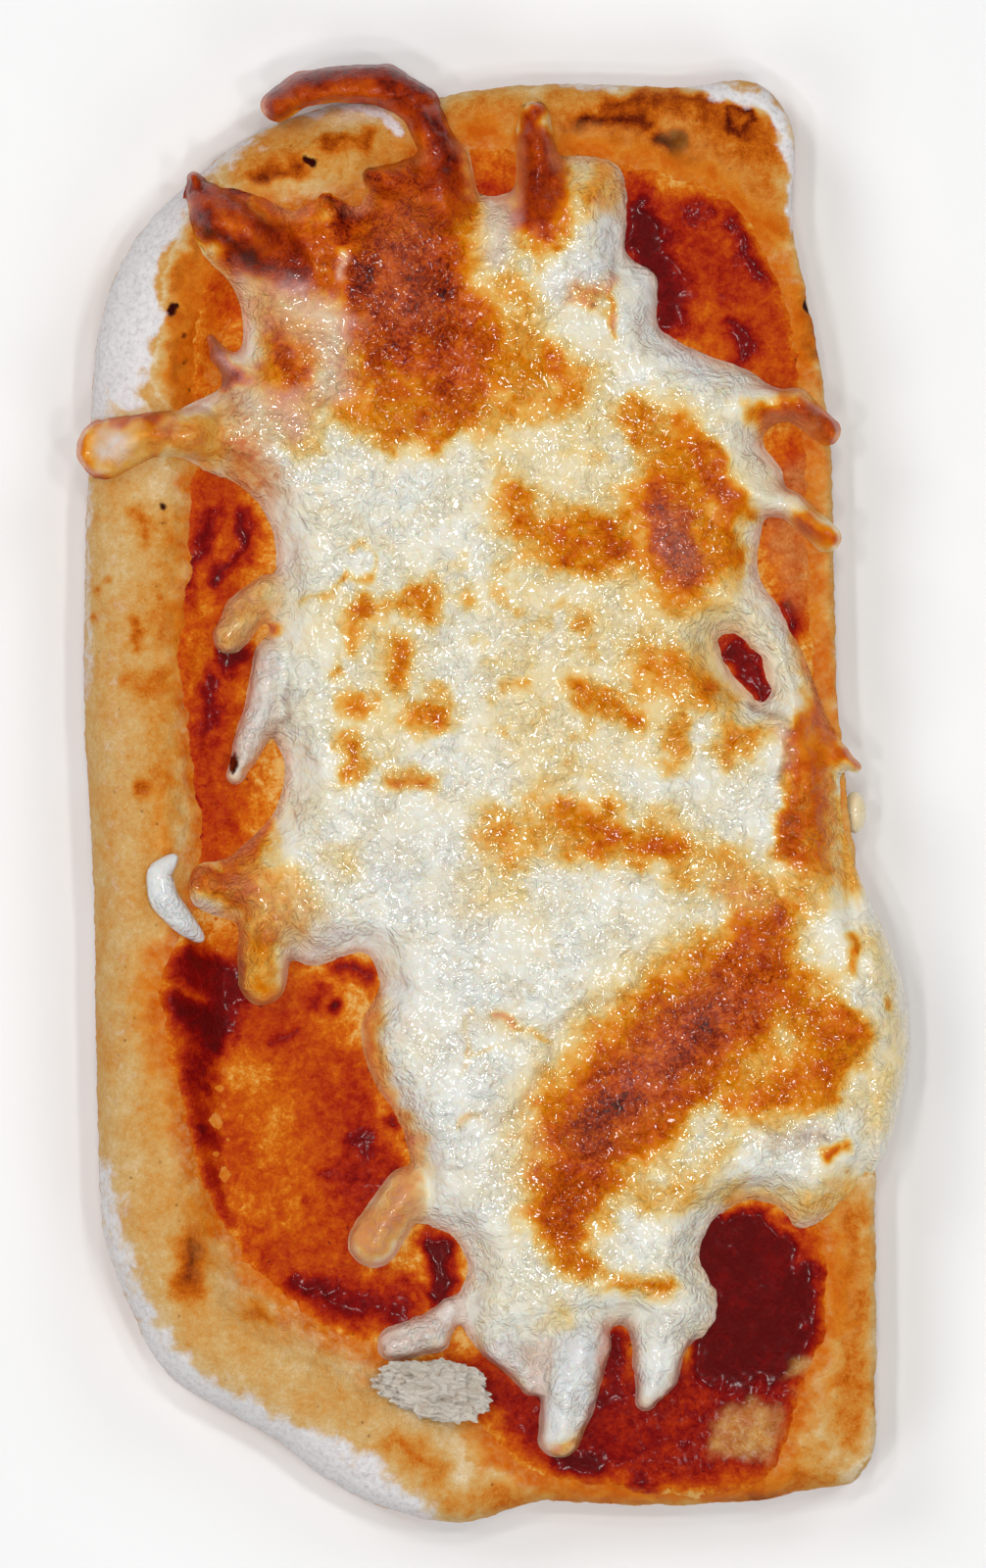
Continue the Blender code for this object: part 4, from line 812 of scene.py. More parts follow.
# Dough. bake: pale to dark brown. flour: dusted white. stain: soaked with sauce. burn: scorched.
DOUGH_PAINT = (
    # Flour: all round the left end, thickest on its two corners.
    ("flour", 0.80, 2.2, (-33.0, 90.0, 3.2), (-43.0, 82.0, 4.6), (-49.0, 74.0, 5.0), (-52.0, 63.0, 6.0),
     (-53.6, 53.0, 4.6)),
    ("flour", 0.95, 1.2, (-41.5, 80.5, 2.2), (-46.0, 73.0, 3.2), (-48.0, 65.0, 3.6), (-48.5, 57.0, 3.0),
     (-48.5, 52.5, 1.6)),
    ("flour", 0.55, 0.9, (-54.4, 41.0, 0.7), (-54.6, 28.0, 0.8), (-54.6, 13.0, 0.7)),
    ("flour", 0.20, 2.5, (-50.0, 30.0, 2.6), (-50.0, -10.0, 2.6), (-49.0, -40.0, 2.4)),
    ("flour", 0.70, 1.6, (-52.0, -50.0, 1.6), (-50.5, -60.0, 2.4), (-47.8, -68.0, 2.6)),
    ("flour", 0.90, 1.6, (-47.0, -72.0, 2.6), (-40.0, -79.5, 3.6), (-30.0, -85.5, 3.6), (-19.0, -91.0, 4.0),
     (-11.0, -95.5, 2.4)),
    ("flour", 0.95, 0.7, (-30.0, 89.2, 0.7), (-25.0, 90.4, 0.8), (-20.0, 91.2, 0.8), (-15.0, 90.4, 0.7),
     (-12.5, 87.6, 0.5)),
    ("flour", 0.60, 0.6, (10.0, 94.4, 0.5), (38.0, 94.2, 0.5)),
    ("flour", 0.90, 0.7, (27.0, 94.0, 0.8), (31.0, 92.4, 1.0), (36.0, 92.4, 1.2), (38.4, 90.0, 1.0),
     (39.4, 83.0, 0.7), (40.0, 75.0, 0.5)),
    ("flour", 0.45, 0.8, (46.0, 20.0, 0.6), (46.0, 12.0, 0.5)),
    # Colour of the bake.
    ("bake", 0.30, 3.0, (-50.0, 45.0, 6.0), (-50.0, 0.0, 7.0), (-48.0, -50.0, 7.0), (-38.0, -70.0, 6.0),
     (-24.0, -80.0, 6.0), (-12.0, -88.0, 6.0)),
    ("bake", 0.46, 2.4, (-43.0, 36.0, 2.4), (-44.0, 10.0, 2.6), (-44.0, -14.0, 2.2)),
    ("bake", 0.68, 1.4, (-38.0, 74.0, 2.4), (-40.5, 66.0, 2.6), (-41.0, 58.0, 2.8), (-40.0, 51.0, 2.6)),
    ("bake", 0.46, 2.6, (-31.0, 84.0, 4.0), (-22.0, 85.0, 5.0), (-14.0, 86.0, 4.0)),
    ("bake", 0.45, 1.4, (-30.0, 86.6, 1.0), (-24.0, 88.6, 1.2)),
    ("bake", 0.78, 1.0, (-30.6, 82.0, 1.1), (-25.6, 82.2, 1.2)),
    ("bake", 0.75, 0.8, (-20.6, 87.0, 1.0), (-16.4, 87.0, 1.0)),
    ("bake", 0.72, 0.8, (-22.0, 86.5, 0.9)),
    ("burn", 0.75, 0.5, (-24.0, 83.3, 0.9)),
    ("burn", 0.60, 0.3, (-27.4, 80.4, 0.4)),
    ("burn", 0.50, 0.3, (-26.3, 85.2, 0.4)),
    ("bake", 0.75, 0.6, (-38.5, 82.7, 0.6), (-36.8, 83.8, 0.6)),
    ("burn", 0.70, 0.4, (-42.5, 64.3, 0.7)),
    ("burn", 0.60, 0.3, (-41.0, 60.0, 0.4)),
    ("burn", 0.60, 0.3, (-40.3, 56.5, 0.4)),
    ("burn", 0.55, 0.3, (-40.0, 53.6, 0.4)),
    ("stain", 0.55, 0.9, (-38.0, 68.5, 1.0), (-37.6, 63.5, 1.0)),
    # The top edge, right of the loop.
    ("bake", 0.50, 2.2, (-5.0, 90.0, 3.4), (3.0, 90.0, 3.4), (12.0, 91.0, 3.0)),
    ("bake", 0.52, 2.4, (10.0, 88.0, 4.0), (22.0, 88.0, 5.0), (33.0, 84.0, 6.0), (37.0, 76.0, 4.0)),
    ("stain", 0.55, 1.6, (-1.0, 87.5, 2.4), (0.5, 83.0, 2.0)),
    ("burn", 0.55, 0.5, (-2.6, 81.2, 0.6), (-2.1, 78.6, 0.6)),
    ("bake", 0.88, 0.9, (11.5, 89.3, 0.9), (19.5, 89.3, 1.0)),
    ("burn", 0.60, 0.4, (18.7, 89.8, 0.5)),
    ("bake", 0.76, 1.2, (16.0, 91.8, 1.3), (29.0, 91.8, 1.3)),
    ("bake", 0.97, 0.8, (22.0, 86.8, 1.0), (25.0, 86.4, 1.0)),
    ("bake", 0.70, 1.8, (30.0, 89.5, 2.6), (36.0, 86.0, 2.6)),
    ("bake", 0.97, 0.5, (31.2, 90.5, 0.5), (34.0, 90.6, 0.4), (34.6, 88.6, 0.4), (33.0, 87.4, 0.4),
     (31.2, 88.2, 0.4), (31.0, 90.2, 0.4)),
    ("burn", 0.55, 0.4, (38.7, 80.5, 0.5)),
    ("burn", 0.50, 0.4, (38.5, 86.0, 0.5)),
    ("stain", 0.30, 1.4, (24.0, 87.6, 1.4), (31.0, 82.0, 1.8), (38.0, 76.0, 1.6)),
    ("bake", 0.72, 1.2, (41.4, 65.0, 1.6), (42.0, 59.0, 1.6)),
    ("burn", 0.80, 0.4, (42.7, 64.5, 0.8)),
    # Down the left rim.
    ("bake", 0.66, 1.2, (-46.6, 36.6, 0.8), (-46.4, 33.4, 0.8)),
    ("bake", 0.66, 0.8, (-47.0, 23.0, 0.6), (-47.0, 19.0, 0.6)),
    ("bake", 0.64, 0.6, (-51.0, 28.2, 0.5)),
    ("bake", 0.64, 0.6, (-52.8, 26.4, 0.5)),
    ("bake", 0.64, 0.6, (-53.3, 23.2, 0.4)),
    ("bake", 0.50, 1.0, (-48.0, 15.5, 1.0)),
    ("bake", 0.50, 1.2, (-45.0, 10.0, 1.2)),
    ("bake", 0.10, 1.0, (-43.0, 18.0, 1.0)),
    ("bake", 0.62, 0.9, (-47.0, 1.0, 0.9)),
    ("stain", 0.70, 0.5, (-42.3, 42.8, 0.5)),
    ("stain", 0.75, 0.5, (-42.0, 41.2, 0.5)),
    ("burn", 0.60, 0.3, (-44.0, 38.3, 0.4)),
    ("burn", 0.50, 0.3, (-44.3, 35.0, 0.4)),
    ("stain", 0.62, 0.9, (-44.6, 0.0, 0.8), (-43.5, -7.0, 1.2)),
    ("stain", 0.80, 0.6, (-42.8, 11.4, 0.7)),
    ("stain", 0.80, 0.8, (-42.8, 4.4, 0.6), (-42.4, 1.6, 0.8)),
    ("stain", 0.85, 1.6, (-45.0, -26.0, 1.2), (-44.4, -32.0, 1.4), (-43.0, -37.0, 1.0)),
    ("stain", 0.40, 2.4, (-42.6, -42.0, 1.4), (-41.0, -52.0, 1.4), (-37.0, -62.0, 1.6), (-28.0, -70.0, 1.6)),
    # Lower left and bottom.
    ("bake", 0.62, 1.6, (-40.2, -59.4, 2.4), (-40.0, -65.6, 2.6)),
    ("bake", 0.84, 1.6, (-40.2, -60.8, 1.0), (-40.0, -64.4, 1.2)),
    ("bake", 0.60, 1.2, (-31.6, -69.0, 1.2), (-29.8, -69.6, 1.2)),
    ("burn", 0.45, 0.4, (-23.0, -70.8, 0.5)),
    ("bake", 0.52, 1.4, (-13.0, -86.6, 1.2), (-7.4, -90.0, 1.8)),
    ("stain", 0.60, 1.2, (-17.4, -77.6, 1.0), (-15.0, -78.6, 1.0)),
    ("bake", 0.50, 2.0, (-4.0, -94.0, 3.0), (10.0, -94.0, 2.0), (30.0, -93.4, 2.4), (44.0, -90.5, 3.0)),
    ("stain", 0.45, 1.6, (0.0, -84.0, 1.6), (2.0, -88.0, 1.6)),
    ("bake", 0.78, 0.9, (32.0, -93.0, 0.9), (37.0, -92.8, 0.9)),
    ("bake", 0.54, 2.0, (47.5, -85.0, 3.0), (48.0, -70.0, 3.4), (47.5, -56.0, 3.0)),
    ("burn", 0.50, 0.4, (45.0, -57.5, 0.6)),
)

# Sauce. depth: from an orange film to the deep red of a puddle. bare: the dough under it shows.
SAUCE_PAINT = (
    ("depth", 0.16, 3.0, (-38.0, 76.0, 6.0), (-38.0, 50.0, 6.0)),
    ("depth", 0.34, 1.6, (-36.6, 72.0, 1.6), (-36.0, 64.0, 1.6)),
    ("depth", 0.22, 2.0, (-4.0, 84.0, 4.0), (4.0, 84.0, 4.0)),
    ("depth", 0.50, 1.4, (-2.6, 80.0, 1.6), (3.0, 79.6, 1.4)),
    ("depth", 0.45, 3.0, (-38.0, 40.0, 5.0), (-38.0, -8.0, 5.0)),
    ("depth", 0.20, 1.6, (-38.4, 28.0, 1.6), (-38.6, 12.0, 1.6)),
    ("depth", 0.85, 1.0, (-37.2, 37.0, 0.8), (-38.5, 34.0, 0.8), (-39.5, 31.0, 0.8), (-40.8, 26.0, 0.7)),
    ("depth", 0.90, 0.8, (-33.0, 37.0, 1.0), (-32.4, 33.0, 1.1), (-34.0, 30.2, 1.0), (-36.4, 28.4, 0.8)),
    ("depth", 0.20, 0.8, (-36.0, 33.4, 1.1)),
    ("depth", 0.92, 0.9, (-35.6, 18.2, 1.2), (-32.6, 17.6, 1.2)),
    ("depth", 0.85, 0.9, (-37.6, 15.5, 0.8), (-37.4, 8.5, 0.9)),
    ("depth", 0.80, 1.0, (-42.0, -1.0, 1.4), (-42.0, -7.0, 1.6)),
    ("depth", 0.98, 0.5, (-40.2, 1.0, 0.5), (-39.8, -7.6, 0.6)),
    # The bay at the lower left.
    ("depth", 0.42, 3.0, (-34.0, -30.0, 10.0), (-28.0, -48.0, 12.0), (-24.0, -62.0, 9.0)),
    ("depth", 0.20, 3.0, (-32.0, -38.0, 5.0), (-29.0, -46.0, 6.0), (-26.0, -56.0, 4.0)),
    ("depth", 0.88, 1.6, (-40.0, -23.0, 2.6), (-36.0, -26.0, 3.6), (-37.5, -31.0, 3.0), (-42.0, -28.5, 2.2)),
    ("depth", 0.98, 0.8, (-37.0, -33.0, 1.1)),
    ("depth", 0.62, 1.6, (-23.0, -27.0, 2.0)),
    ("depth", 0.80, 1.2, (-20.0, -23.6, 1.3), (-16.4, -24.0, 1.4)),
    ("depth", 0.85, 0.5, (-21.0, -29.0, 0.6)),
    ("depth", 0.80, 0.7, (-29.0, -33.4, 0.6), (-26.0, -31.4, 0.6)),
    ("depth", 0.72, 1.3, (-39.0, -36.0, 1.6), (-39.0, -39.4, 1.4)),
    ("depth", 0.08, 1.4, (-34.6, -38.0, 1.6), (-31.4, -38.0, 1.6)),
    ("depth", 0.85, 1.0, (-39.0, -43.0, 1.1), (-38.6, -47.0, 1.2)),
    ("depth", 1.00, 0.4, (-38.5, -44.5, 0.6)),
    ("depth", 0.52, 2.2, (-19.0, -37.0, 2.6), (-16.0, -48.0, 3.0)),
    ("depth", 0.85, 1.0, (-17.0, -45.8, 1.4), (-17.0, -48.4, 1.3)),
    ("depth", 0.80, 0.7, (-13.5, -42.2, 0.6), (-13.4, -43.8, 0.6)),
    ("depth", 0.66, 2.2, (-18.0, -52.0, 3.4), (-13.0, -52.5, 2.0)),
    ("depth", 0.88, 0.8, (-36.4, -55.0, 0.8), (-36.6, -58.2, 0.9)),
    ("depth", 0.84, 1.0, (-37.0, -50.2, 1.0), (-37.0, -53.8, 1.0)),
    ("depth", 0.80, 0.7, (-32.5, -62.5, 0.9)),
    ("depth", 0.88, 0.9, (-26.0, -65.4, 1.0), (-22.6, -65.8, 1.1)),
    ("depth", 1.00, 0.4, (-22.3, -66.3, 0.6)),
    ("depth", 0.80, 0.6, (-22.0, -51.0, 0.6)),
    ("depth", 0.80, 0.6, (-24.0, -54.5, 0.7)),
    ("depth", 0.12, 1.4, (-33.0, -55.0, 1.8)),
    ("depth", 0.80, 2.0, (-20.0, -68.0, 2.6), (-12.0, -68.0, 2.8)),
    ("depth", 0.96, 1.2, (-7.4, -60.0, 2.0), (-6.8, -66.0, 2.0)),
    # Bottom right: puddle, pale windows and dark dots.
    ("depth", 0.66, 2.4, (-4.0, -80.0, 5.0), (14.0, -84.0, 8.0), (34.0, -84.0, 8.0), (36.0, -66.0, 8.0)),
    ("depth", 0.92, 1.0, (30.0, -57.0, 1.6), (35.0, -59.0, 4.0), (37.0, -66.0, 6.0), (36.0, -72.0, 5.6)),
    ("depth", 0.92, 1.0, (28.0, -59.0, 3.4), (30.0, -68.0, 4.4), (31.0, -75.0, 3.4)),
    ("depth", 0.92, 1.0, (42.0, -70.0, 2.0), (43.0, -73.0, 2.0)),
    ("depth", 0.92, 1.2, (29.0, -76.0, 1.6), (33.0, -77.6, 2.0)),
    ("depth", 0.85, 1.2, (15.8, -73.0, 1.8), (16.0, -79.0, 1.8)),
    ("depth", 0.50, 1.0, (39.6, -56.0, 1.2), (43.0, -59.5, 1.2)),
    ("bare", 0.85, 0.9, (32.0, -84.0, 1.8), (35.4, -82.4, 1.8), (35.6, -86.0, 2.0), (31.0, -86.4, 1.6)),
    ("bare", 0.70, 0.6, (40.0, -76.2, 0.6), (44.0, -76.0, 0.6), (44.6, -79.0, 0.6), (41.0, -79.8, 0.6)),
    ("depth", 0.80, 0.5, (42.3, -78.0, 0.6)),
    ("depth", 0.96, 0.9, (9.4, -89.0, 1.2), (12.8, -89.2, 1.3)),
    ("depth", 0.80, 0.6, (6.0, -90.0, 0.8)),
    ("depth", 0.85, 0.6, (25.0, -86.5, 0.9)),
    ("depth", 0.80, 0.7, (20.0, -92.0, 1.0)),
    ("depth", 0.80, 0.8, (37.0, -88.0, 1.1), (39.0, -87.8, 1.1)),
    ("depth", 0.15, 1.6, (0.0, -84.0, 1.6), (2.0, -88.0, 1.8)),
    # Top right.
    ("depth", 0.45, 3.0, (16.0, 82.0, 5.0), (30.0, 70.0, 9.0), (36.0, 56.0, 6.0)),
    ("depth", 0.86, 1.8, (19.0, 76.0, 2.2), (21.0, 70.0, 3.0), (24.0, 64.0, 3.0)),
    ("depth", 0.98, 1.0, (20.0, 77.0, 1.3), (20.4, 73.0, 1.4)),
    ("depth", 0.10, 1.4, (23.0, 82.0, 1.6), (26.4, 80.6, 1.6)),
    ("depth", 0.24, 2.0, (30.0, 64.0, 2.6), (35.0, 58.0, 3.0)),
    ("depth", 0.86, 1.2, (32.0, 62.0, 1.3), (34.0, 59.4, 1.4)),
    ("depth", 0.80, 0.8, (31.0, 66.0, 1.0)),
    ("depth", 0.92, 0.7, (27.6, 83.4, 0.8), (31.0, 81.0, 0.8), (33.0, 78.2, 0.7)),
    ("depth", 0.90, 1.1, (31.6, 78.0, 1.2), (32.6, 74.4, 1.4), (34.4, 71.0, 1.2), (36.4, 68.0, 1.0)),
    ("depth", 0.76, 0.8, (25.6, 77.0, 0.9), (28.4, 77.2, 0.9)),
    ("depth", 1.00, 0.4, (20.4, 78.3, 0.5)),
    ("depth", 0.14, 1.2, (34.0, 76.0, 1.0), (38.0, 70.0, 1.0)),
    ("depth", 0.34, 1.6, (38.0, 35.0, 3.0), (41.0, 30.0, 4.0), (40.0, 24.0, 3.0)),
    ("bare", 0.50, 1.6, (39.0, 34.0, 2.0), (41.0, 28.0, 2.4)),
    ("depth", 0.80, 1.0, (38.6, 24.6, 0.9), (40.0, 22.0, 1.0)),
    ("depth", 0.40, 1.4, (40.0, 44.0, 3.0), (43.0, 40.0, 2.0)),
    ("bare", 0.40, 1.4, (41.0, 42.0, 2.0)),
    ("depth", 0.84, 1.0, (31.6, 19.6, 1.8), (33.6, 16.8, 2.4), (35.4, 13.6, 1.6)),
)


def tone(color):
    """Linear colour of a shade as the eye sees it, given from 0 to 255, less the sheen it gets from the light."""
    share = [c / 255 for c in color]
    linear = [c / 12.92 if c <= 0.04045 else ((c + 0.055) / 1.055) ** 2.4 for c in share]
    return tuple(max(0.0, c - SHEEN) * BODY_TONE for c in linear)


SHEEN = 0.010
BODY_TONE = 0.90


class Look:
    """A material put together from nodes. Noise sizes are in millimetres on the piece itself."""

    def __init__(self, name):
        self.material = bpy.data.materials.new(name)
        self.material.use_nodes = True
        self.tree = self.material.node_tree
        self.shader = self.tree.nodes["Principled BSDF"]
        self.place = self.tree.nodes.new("ShaderNodeTexCoord").outputs["Object"]
        self.layers = {}

    def set(self, name, value):
        if isinstance(value, bpy.types.NodeSocket):
            self.tree.links.new(value, self.shader.inputs[name])
        else:
            self.shader.inputs[name].default_value = value

    def feed(self, socket, value):
        if isinstance(value, bpy.types.NodeSocket):
            self.tree.links.new(value, socket)
        elif value is not None:
            socket.default_value = value

    def sums(self, operation, *values, clamp=False):
        node = self.tree.nodes.new("ShaderNodeMath")
        node.operation = operation
        node.use_clamp = clamp
        for socket, value in zip(node.inputs, values):
            self.feed(socket, value)
        return node.outputs[0]

    def add(self, a, b):
        return self.sums("ADD", a, b)

    def times(self, a, b, clamp=False):
        return self.sums("MULTIPLY", a, b, clamp=clamp)

    def step(self, value, low, high, out_low=0.0, out_high=1.0):
        node = self.tree.nodes.new("ShaderNodeMapRange")
        node.interpolation_type = "SMOOTHSTEP"
        for name, given in (
            ("Value", value), ("From Min", low), ("From Max", high), ("To Min", out_low), ("To Max", out_high),
        ):
            self.feed(node.inputs[name], given)
        return node.outputs["Result"]

    def channel(self, layer, index):
        if layer not in self.layers:
            node = self.tree.nodes.new("ShaderNodeAttribute")
            node.attribute_name = layer
            split = self.tree.nodes.new("ShaderNodeSeparateColor")
            self.tree.links.new(node.outputs["Color"], split.inputs["Color"])
            self.layers[layer] = [*split.outputs[:3], node.outputs["Alpha"]]
        return self.layers[layer][index]

    def noise(self, size, detail=2.0, roughness=0.55, distortion=0.0, squash=None):
        node = self.tree.nodes.new("ShaderNodeTexNoise")
        node.inputs["Scale"].default_value = 1.0 / (size * MM)
        node.inputs["Detail"].default_value = detail
        node.inputs["Roughness"].default_value = roughness
        node.inputs["Distortion"].default_value = distortion
        if squash:
            stretch = self.tree.nodes.new("ShaderNodeMapping")
            stretch.inputs["Scale"].default_value = squash[:3]
            stretch.inputs["Rotation"].default_value = (0.0, 0.0, squash[3])
            self.tree.links.new(self.place, stretch.inputs["Vector"])
            self.tree.links.new(stretch.outputs["Vector"], node.inputs["Vector"])
        else:
            self.tree.links.new(self.place, node.inputs["Vector"])
        return node.outputs[0]

    def cells(self, size, feature="F1", randomness=1.0):
        node = self.tree.nodes.new("ShaderNodeTexVoronoi")
        node.feature = feature
        node.inputs["Scale"].default_value = 1.0 / (size * MM)
        node.inputs["Randomness"].default_value = randomness
        self.tree.links.new(self.place, node.inputs["Vector"])
        return node.outputs["Distance"]

    def ridges(self, size, distortion=0.0):
        """Winding ridges: 1 along their crests, falling off on both sides."""
        away = self.sums("ABSOLUTE", self.add(self.noise(size, 2.0, 0.5, distortion), -0.5))
        return self.step(away, 0.0, 0.16, 1.0, 0.0)

    def ramp(self, value, stops):
        node = self.tree.nodes.new("ShaderNodeValToRGB")
        line = node.color_ramp.elements
        while len(line) < len(stops):
            line.new(0.5)
        for element, (position, color) in zip(line, stops):
            element.position = position
            element.color = (*tone(color), 1.0)
        self.feed(node.inputs["Fac"], value)
        return node.outputs["Color"]

    def mix(self, share, a, b, blend="MIX"):
        node = self.tree.nodes.new("ShaderNodeMix")
        node.data_type = "RGBA"
        node.blend_type = blend
        node.clamp_factor = True
        self.feed(node.inputs["Factor"], share)
        for socket, value in zip((node.inputs[6], node.inputs[7]), (a, b)):
            self.feed(socket, (*tone(value), 1.0) if isinstance(value, tuple) else value)
        return node.outputs[2]

    def bump(self, height, distance, normal=None):
        node = self.tree.nodes.new("ShaderNodeBump")
        node.inputs["Distance"].default_value = distance * MM
        self.feed(node.inputs["Height"], height)
        if normal is not None:
            self.tree.links.new(normal, node.inputs["Normal"])
        return node.outputs["Normal"]


TOMATO = (
    (0.00, (240, 184, 104)), (0.12, (232, 142, 44)), (0.25, (218, 106, 16)), (0.42, (200, 76, 12)),
    (0.62, (176, 46, 12)), (0.82, (136, 22, 14)), (1.00, (98, 10, 12)),
)
TOASTING = (
    (0.00, (246, 246, 236)), (0.10, (248, 238, 210)), (0.21, (246, 220, 158)), (0.34, (242, 182, 84)),
    (0.46, (232, 138, 20)), (0.58, (212, 98, 2)), (0.70, (184, 70, 6)), (0.82, (152, 48, 12)),
    (0.92, (116, 36, 14)), (1.00, (72, 22, 12)),
)
BAKING = (
    (0.00, (242, 220, 182)), (0.25, (226, 182, 116)), (0.45, (222, 152, 68)), (0.60, (212, 112, 32)),
    (0.75, (172, 76, 26)), (0.88, (120, 46, 22)), (1.00, (70, 26, 16)),
)


def cheese_look():
    look = Look("melted_cheese")
    toast, rosy, milky, film = (look.channel("browning", k) for k in range(4))
    burn, crease, wet, lumpy = (look.channel("marks", k) for k in range(4))
    coarse = look.noise(2.6, 3.0, 0.6, 0.6)
    medium = look.noise(0.9, 3.0, 0.62, 0.4)
    fold = look.noise(1.7, 2.0, 0.45, 2.6)
    wrinkle = look.ridges(0.9, 0.8)
    grain = look.add(look.times(look.add(coarse, -0.5), 0.34), look.times(look.add(medium, -0.5), 0.16))
    # Where browned, lighter on the wrinkles' crests and darker between them: painted light and shade.
    wrinkle_shade = look.times(look.add(wrinkle, -0.62), look.step(toast, 0.5, 0.75, 0.0, -0.20))
    grain = look.add(grain, wrinkle_shade)
    lively = look.step(toast, 0.02, 0.4, 0.30, 1.0)
    grain = look.times(grain, look.times(lively, lumpy))
    shade = look.sums("ADD", toast, grain, clamp=True)
    color = look.ramp(shade, TOASTING)
    haze = look.step(look.noise(7.0, 2.0), 0.45, 0.72)
    pale = look.step(toast, 0.30, 0.05)
    color = look.mix(look.times(look.times(haze, pale), 0.35), color, (236, 216, 160))
    marbling = look.step(look.noise(2.8, 3.0, 0.6, 1.2), 0.48, 0.66)
    color = look.mix(look.times(look.times(marbling, pale), 0.30), color, (240, 212, 146))
    color = look.mix(look.times(milky, look.step(coarse, 0.3, 0.6, 0.55, 0.9)), color, (236, 239, 242))
    # Pink: the cheese's own pink, and a painted sheen where it lies over browned patches.
    color = look.mix(look.times(rosy, look.step(medium, 0.3, 0.7, 0.35, 0.85)), color, (206, 148, 128))
    under = look.ramp(look.add(look.times(film, 0.5), look.times(look.add(coarse, -0.5), 0.9)), TOMATO)
    color = look.mix(look.times(film, look.step(medium, 0.25, 0.75, 0.6, 1.2)), color, under)
    color = look.mix(look.times(wet, 0.6), color, (214, 140, 104))
    # Folds drawn darker: painted shade in the creases, on top of their real grooves.
    color = look.mix(look.times(crease, look.step(medium, 0.2, 0.7, 0.3, 0.9)), color, (150, 84, 44))
    charred = look.step(look.add(burn, look.times(look.add(medium, -0.5), 0.5)), 0.3, 0.7)
    color = look.mix(charred, color, (62, 22, 14))
    look.set("Base Color", color)
    dull = look.step(look.noise(6.0, 2.0, 0.5, 0.4), 0.44, 0.62)
    look.set("Roughness", look.add(look.step(toast, 0.1, 0.9, 0.22, 0.36), look.times(dull, 0.14)))
    look.set("Coat Weight", look.step(toast, 0.12, 0.6, 0.80, 0.26))
    look.set("Coat Roughness", 0.07)
    look.set("Specular IOR Level", 0.18)
    look.set("Subsurface Weight", 0.18)
    look.set("Subsurface Scale", 0.0013)
    skin = look.noise(0.34, 2.0, 0.6, 0.5)
    bubbles = look.step(look.cells(0.7), 0.0, 0.5, 1.0, 0.0)
    height = look.add(look.times(fold, 2.2), look.times(wrinkle, look.step(toast, 0.3, 0.7, 0.07, 0.44)))
    height = look.add(height, look.times(skin, look.step(toast, 0.2, 0.7, 0.06, 0.26)))
    height = look.add(height, look.times(bubbles, look.step(toast, 0.3, 0.8, 0.0, 0.18)))
    smooth = look.times(look.add(look.times(dull, -0.72), 1.0), lumpy)
    look.set("Normal", look.bump(look.times(height, smooth), 0.34))
    return look.material


def dough_look():
    look = Look("baked_dough")
    bake, flour, stain, burn = (look.channel("baking", k) for k in range(4))
    crumb, pits = (look.channel("side", k) for k in range(2))
    coarse = look.noise(3.2, 4.0, 0.6, 0.5)
    medium = look.noise(0.9, 3.0, 0.65)
    fine = look.noise(0.3, 2.0, 0.7)
    grain = look.add(look.times(look.add(coarse, -0.5), 0.42), look.times(look.add(medium, -0.5), 0.36))
    grain = look.add(grain, look.times(look.add(fine, -0.5), 0.30))
    color = look.ramp(look.sums("ADD", bake, grain, clamp=True), BAKING)
    bread = look.ramp(medium, ((0.3, (214, 180, 128)), (0.5, (236, 214, 172)), (0.7, (246, 232, 204))))
    # Darker in the crumb's holes: painted shade in the hollows.
    bread = look.mix(look.times(pits, 0.85), bread, (170, 116, 66))
    color = look.mix(crumb, color, bread)
    under = look.ramp(look.add(look.times(stain, 0.26), look.times(look.add(coarse, -0.5), 0.45)), TOMATO)
    color = look.mix(look.times(stain, look.step(medium, 0.2, 0.7, 0.7, 1.2)), color, under)
    dots = look.step(look.cells(1.9), 0.16, 0.07)
    color = look.mix(look.times(dots, look.step(look.noise(5.0), 0.5, 0.65, 0.0, 0.55)), color, (112, 52, 28))
    charred = look.step(look.add(burn, look.times(look.add(medium, -0.5), 0.6)), 0.3, 0.7)
    color = look.mix(charred, color, (58, 24, 18))
    dust = look.add(flour, look.times(look.add(look.noise(1.6, 4.0, 0.7, 0.3), -0.5), 1.1))
    dusting = look.step(dust, 0.18, 0.80)
    white = look.ramp(look.noise(0.7, 3.0, 0.7), ((0.25, (214, 209, 212)), (0.5, (244, 241, 243)), (0.75, (252, 251, 252))))
    color = look.mix(look.times(dusting, 0.95), color, white)
    look.set("Base Color", color)
    look.set("Roughness", look.add(look.step(stain, 0.2, 0.8, 0.74, 0.40), look.times(dusting, 0.16)))
    look.set("Specular IOR Level", 0.12)
    look.set("Subsurface Weight", 0.05)
    look.set("Subsurface Scale", 0.001)
    height = look.add(look.times(look.noise(0.7, 4.0, 0.7), 1.0), look.times(look.noise(0.25, 2.0, 0.7), 0.5))
    look.set("Normal", look.bump(height, 0.28))
    return look.material


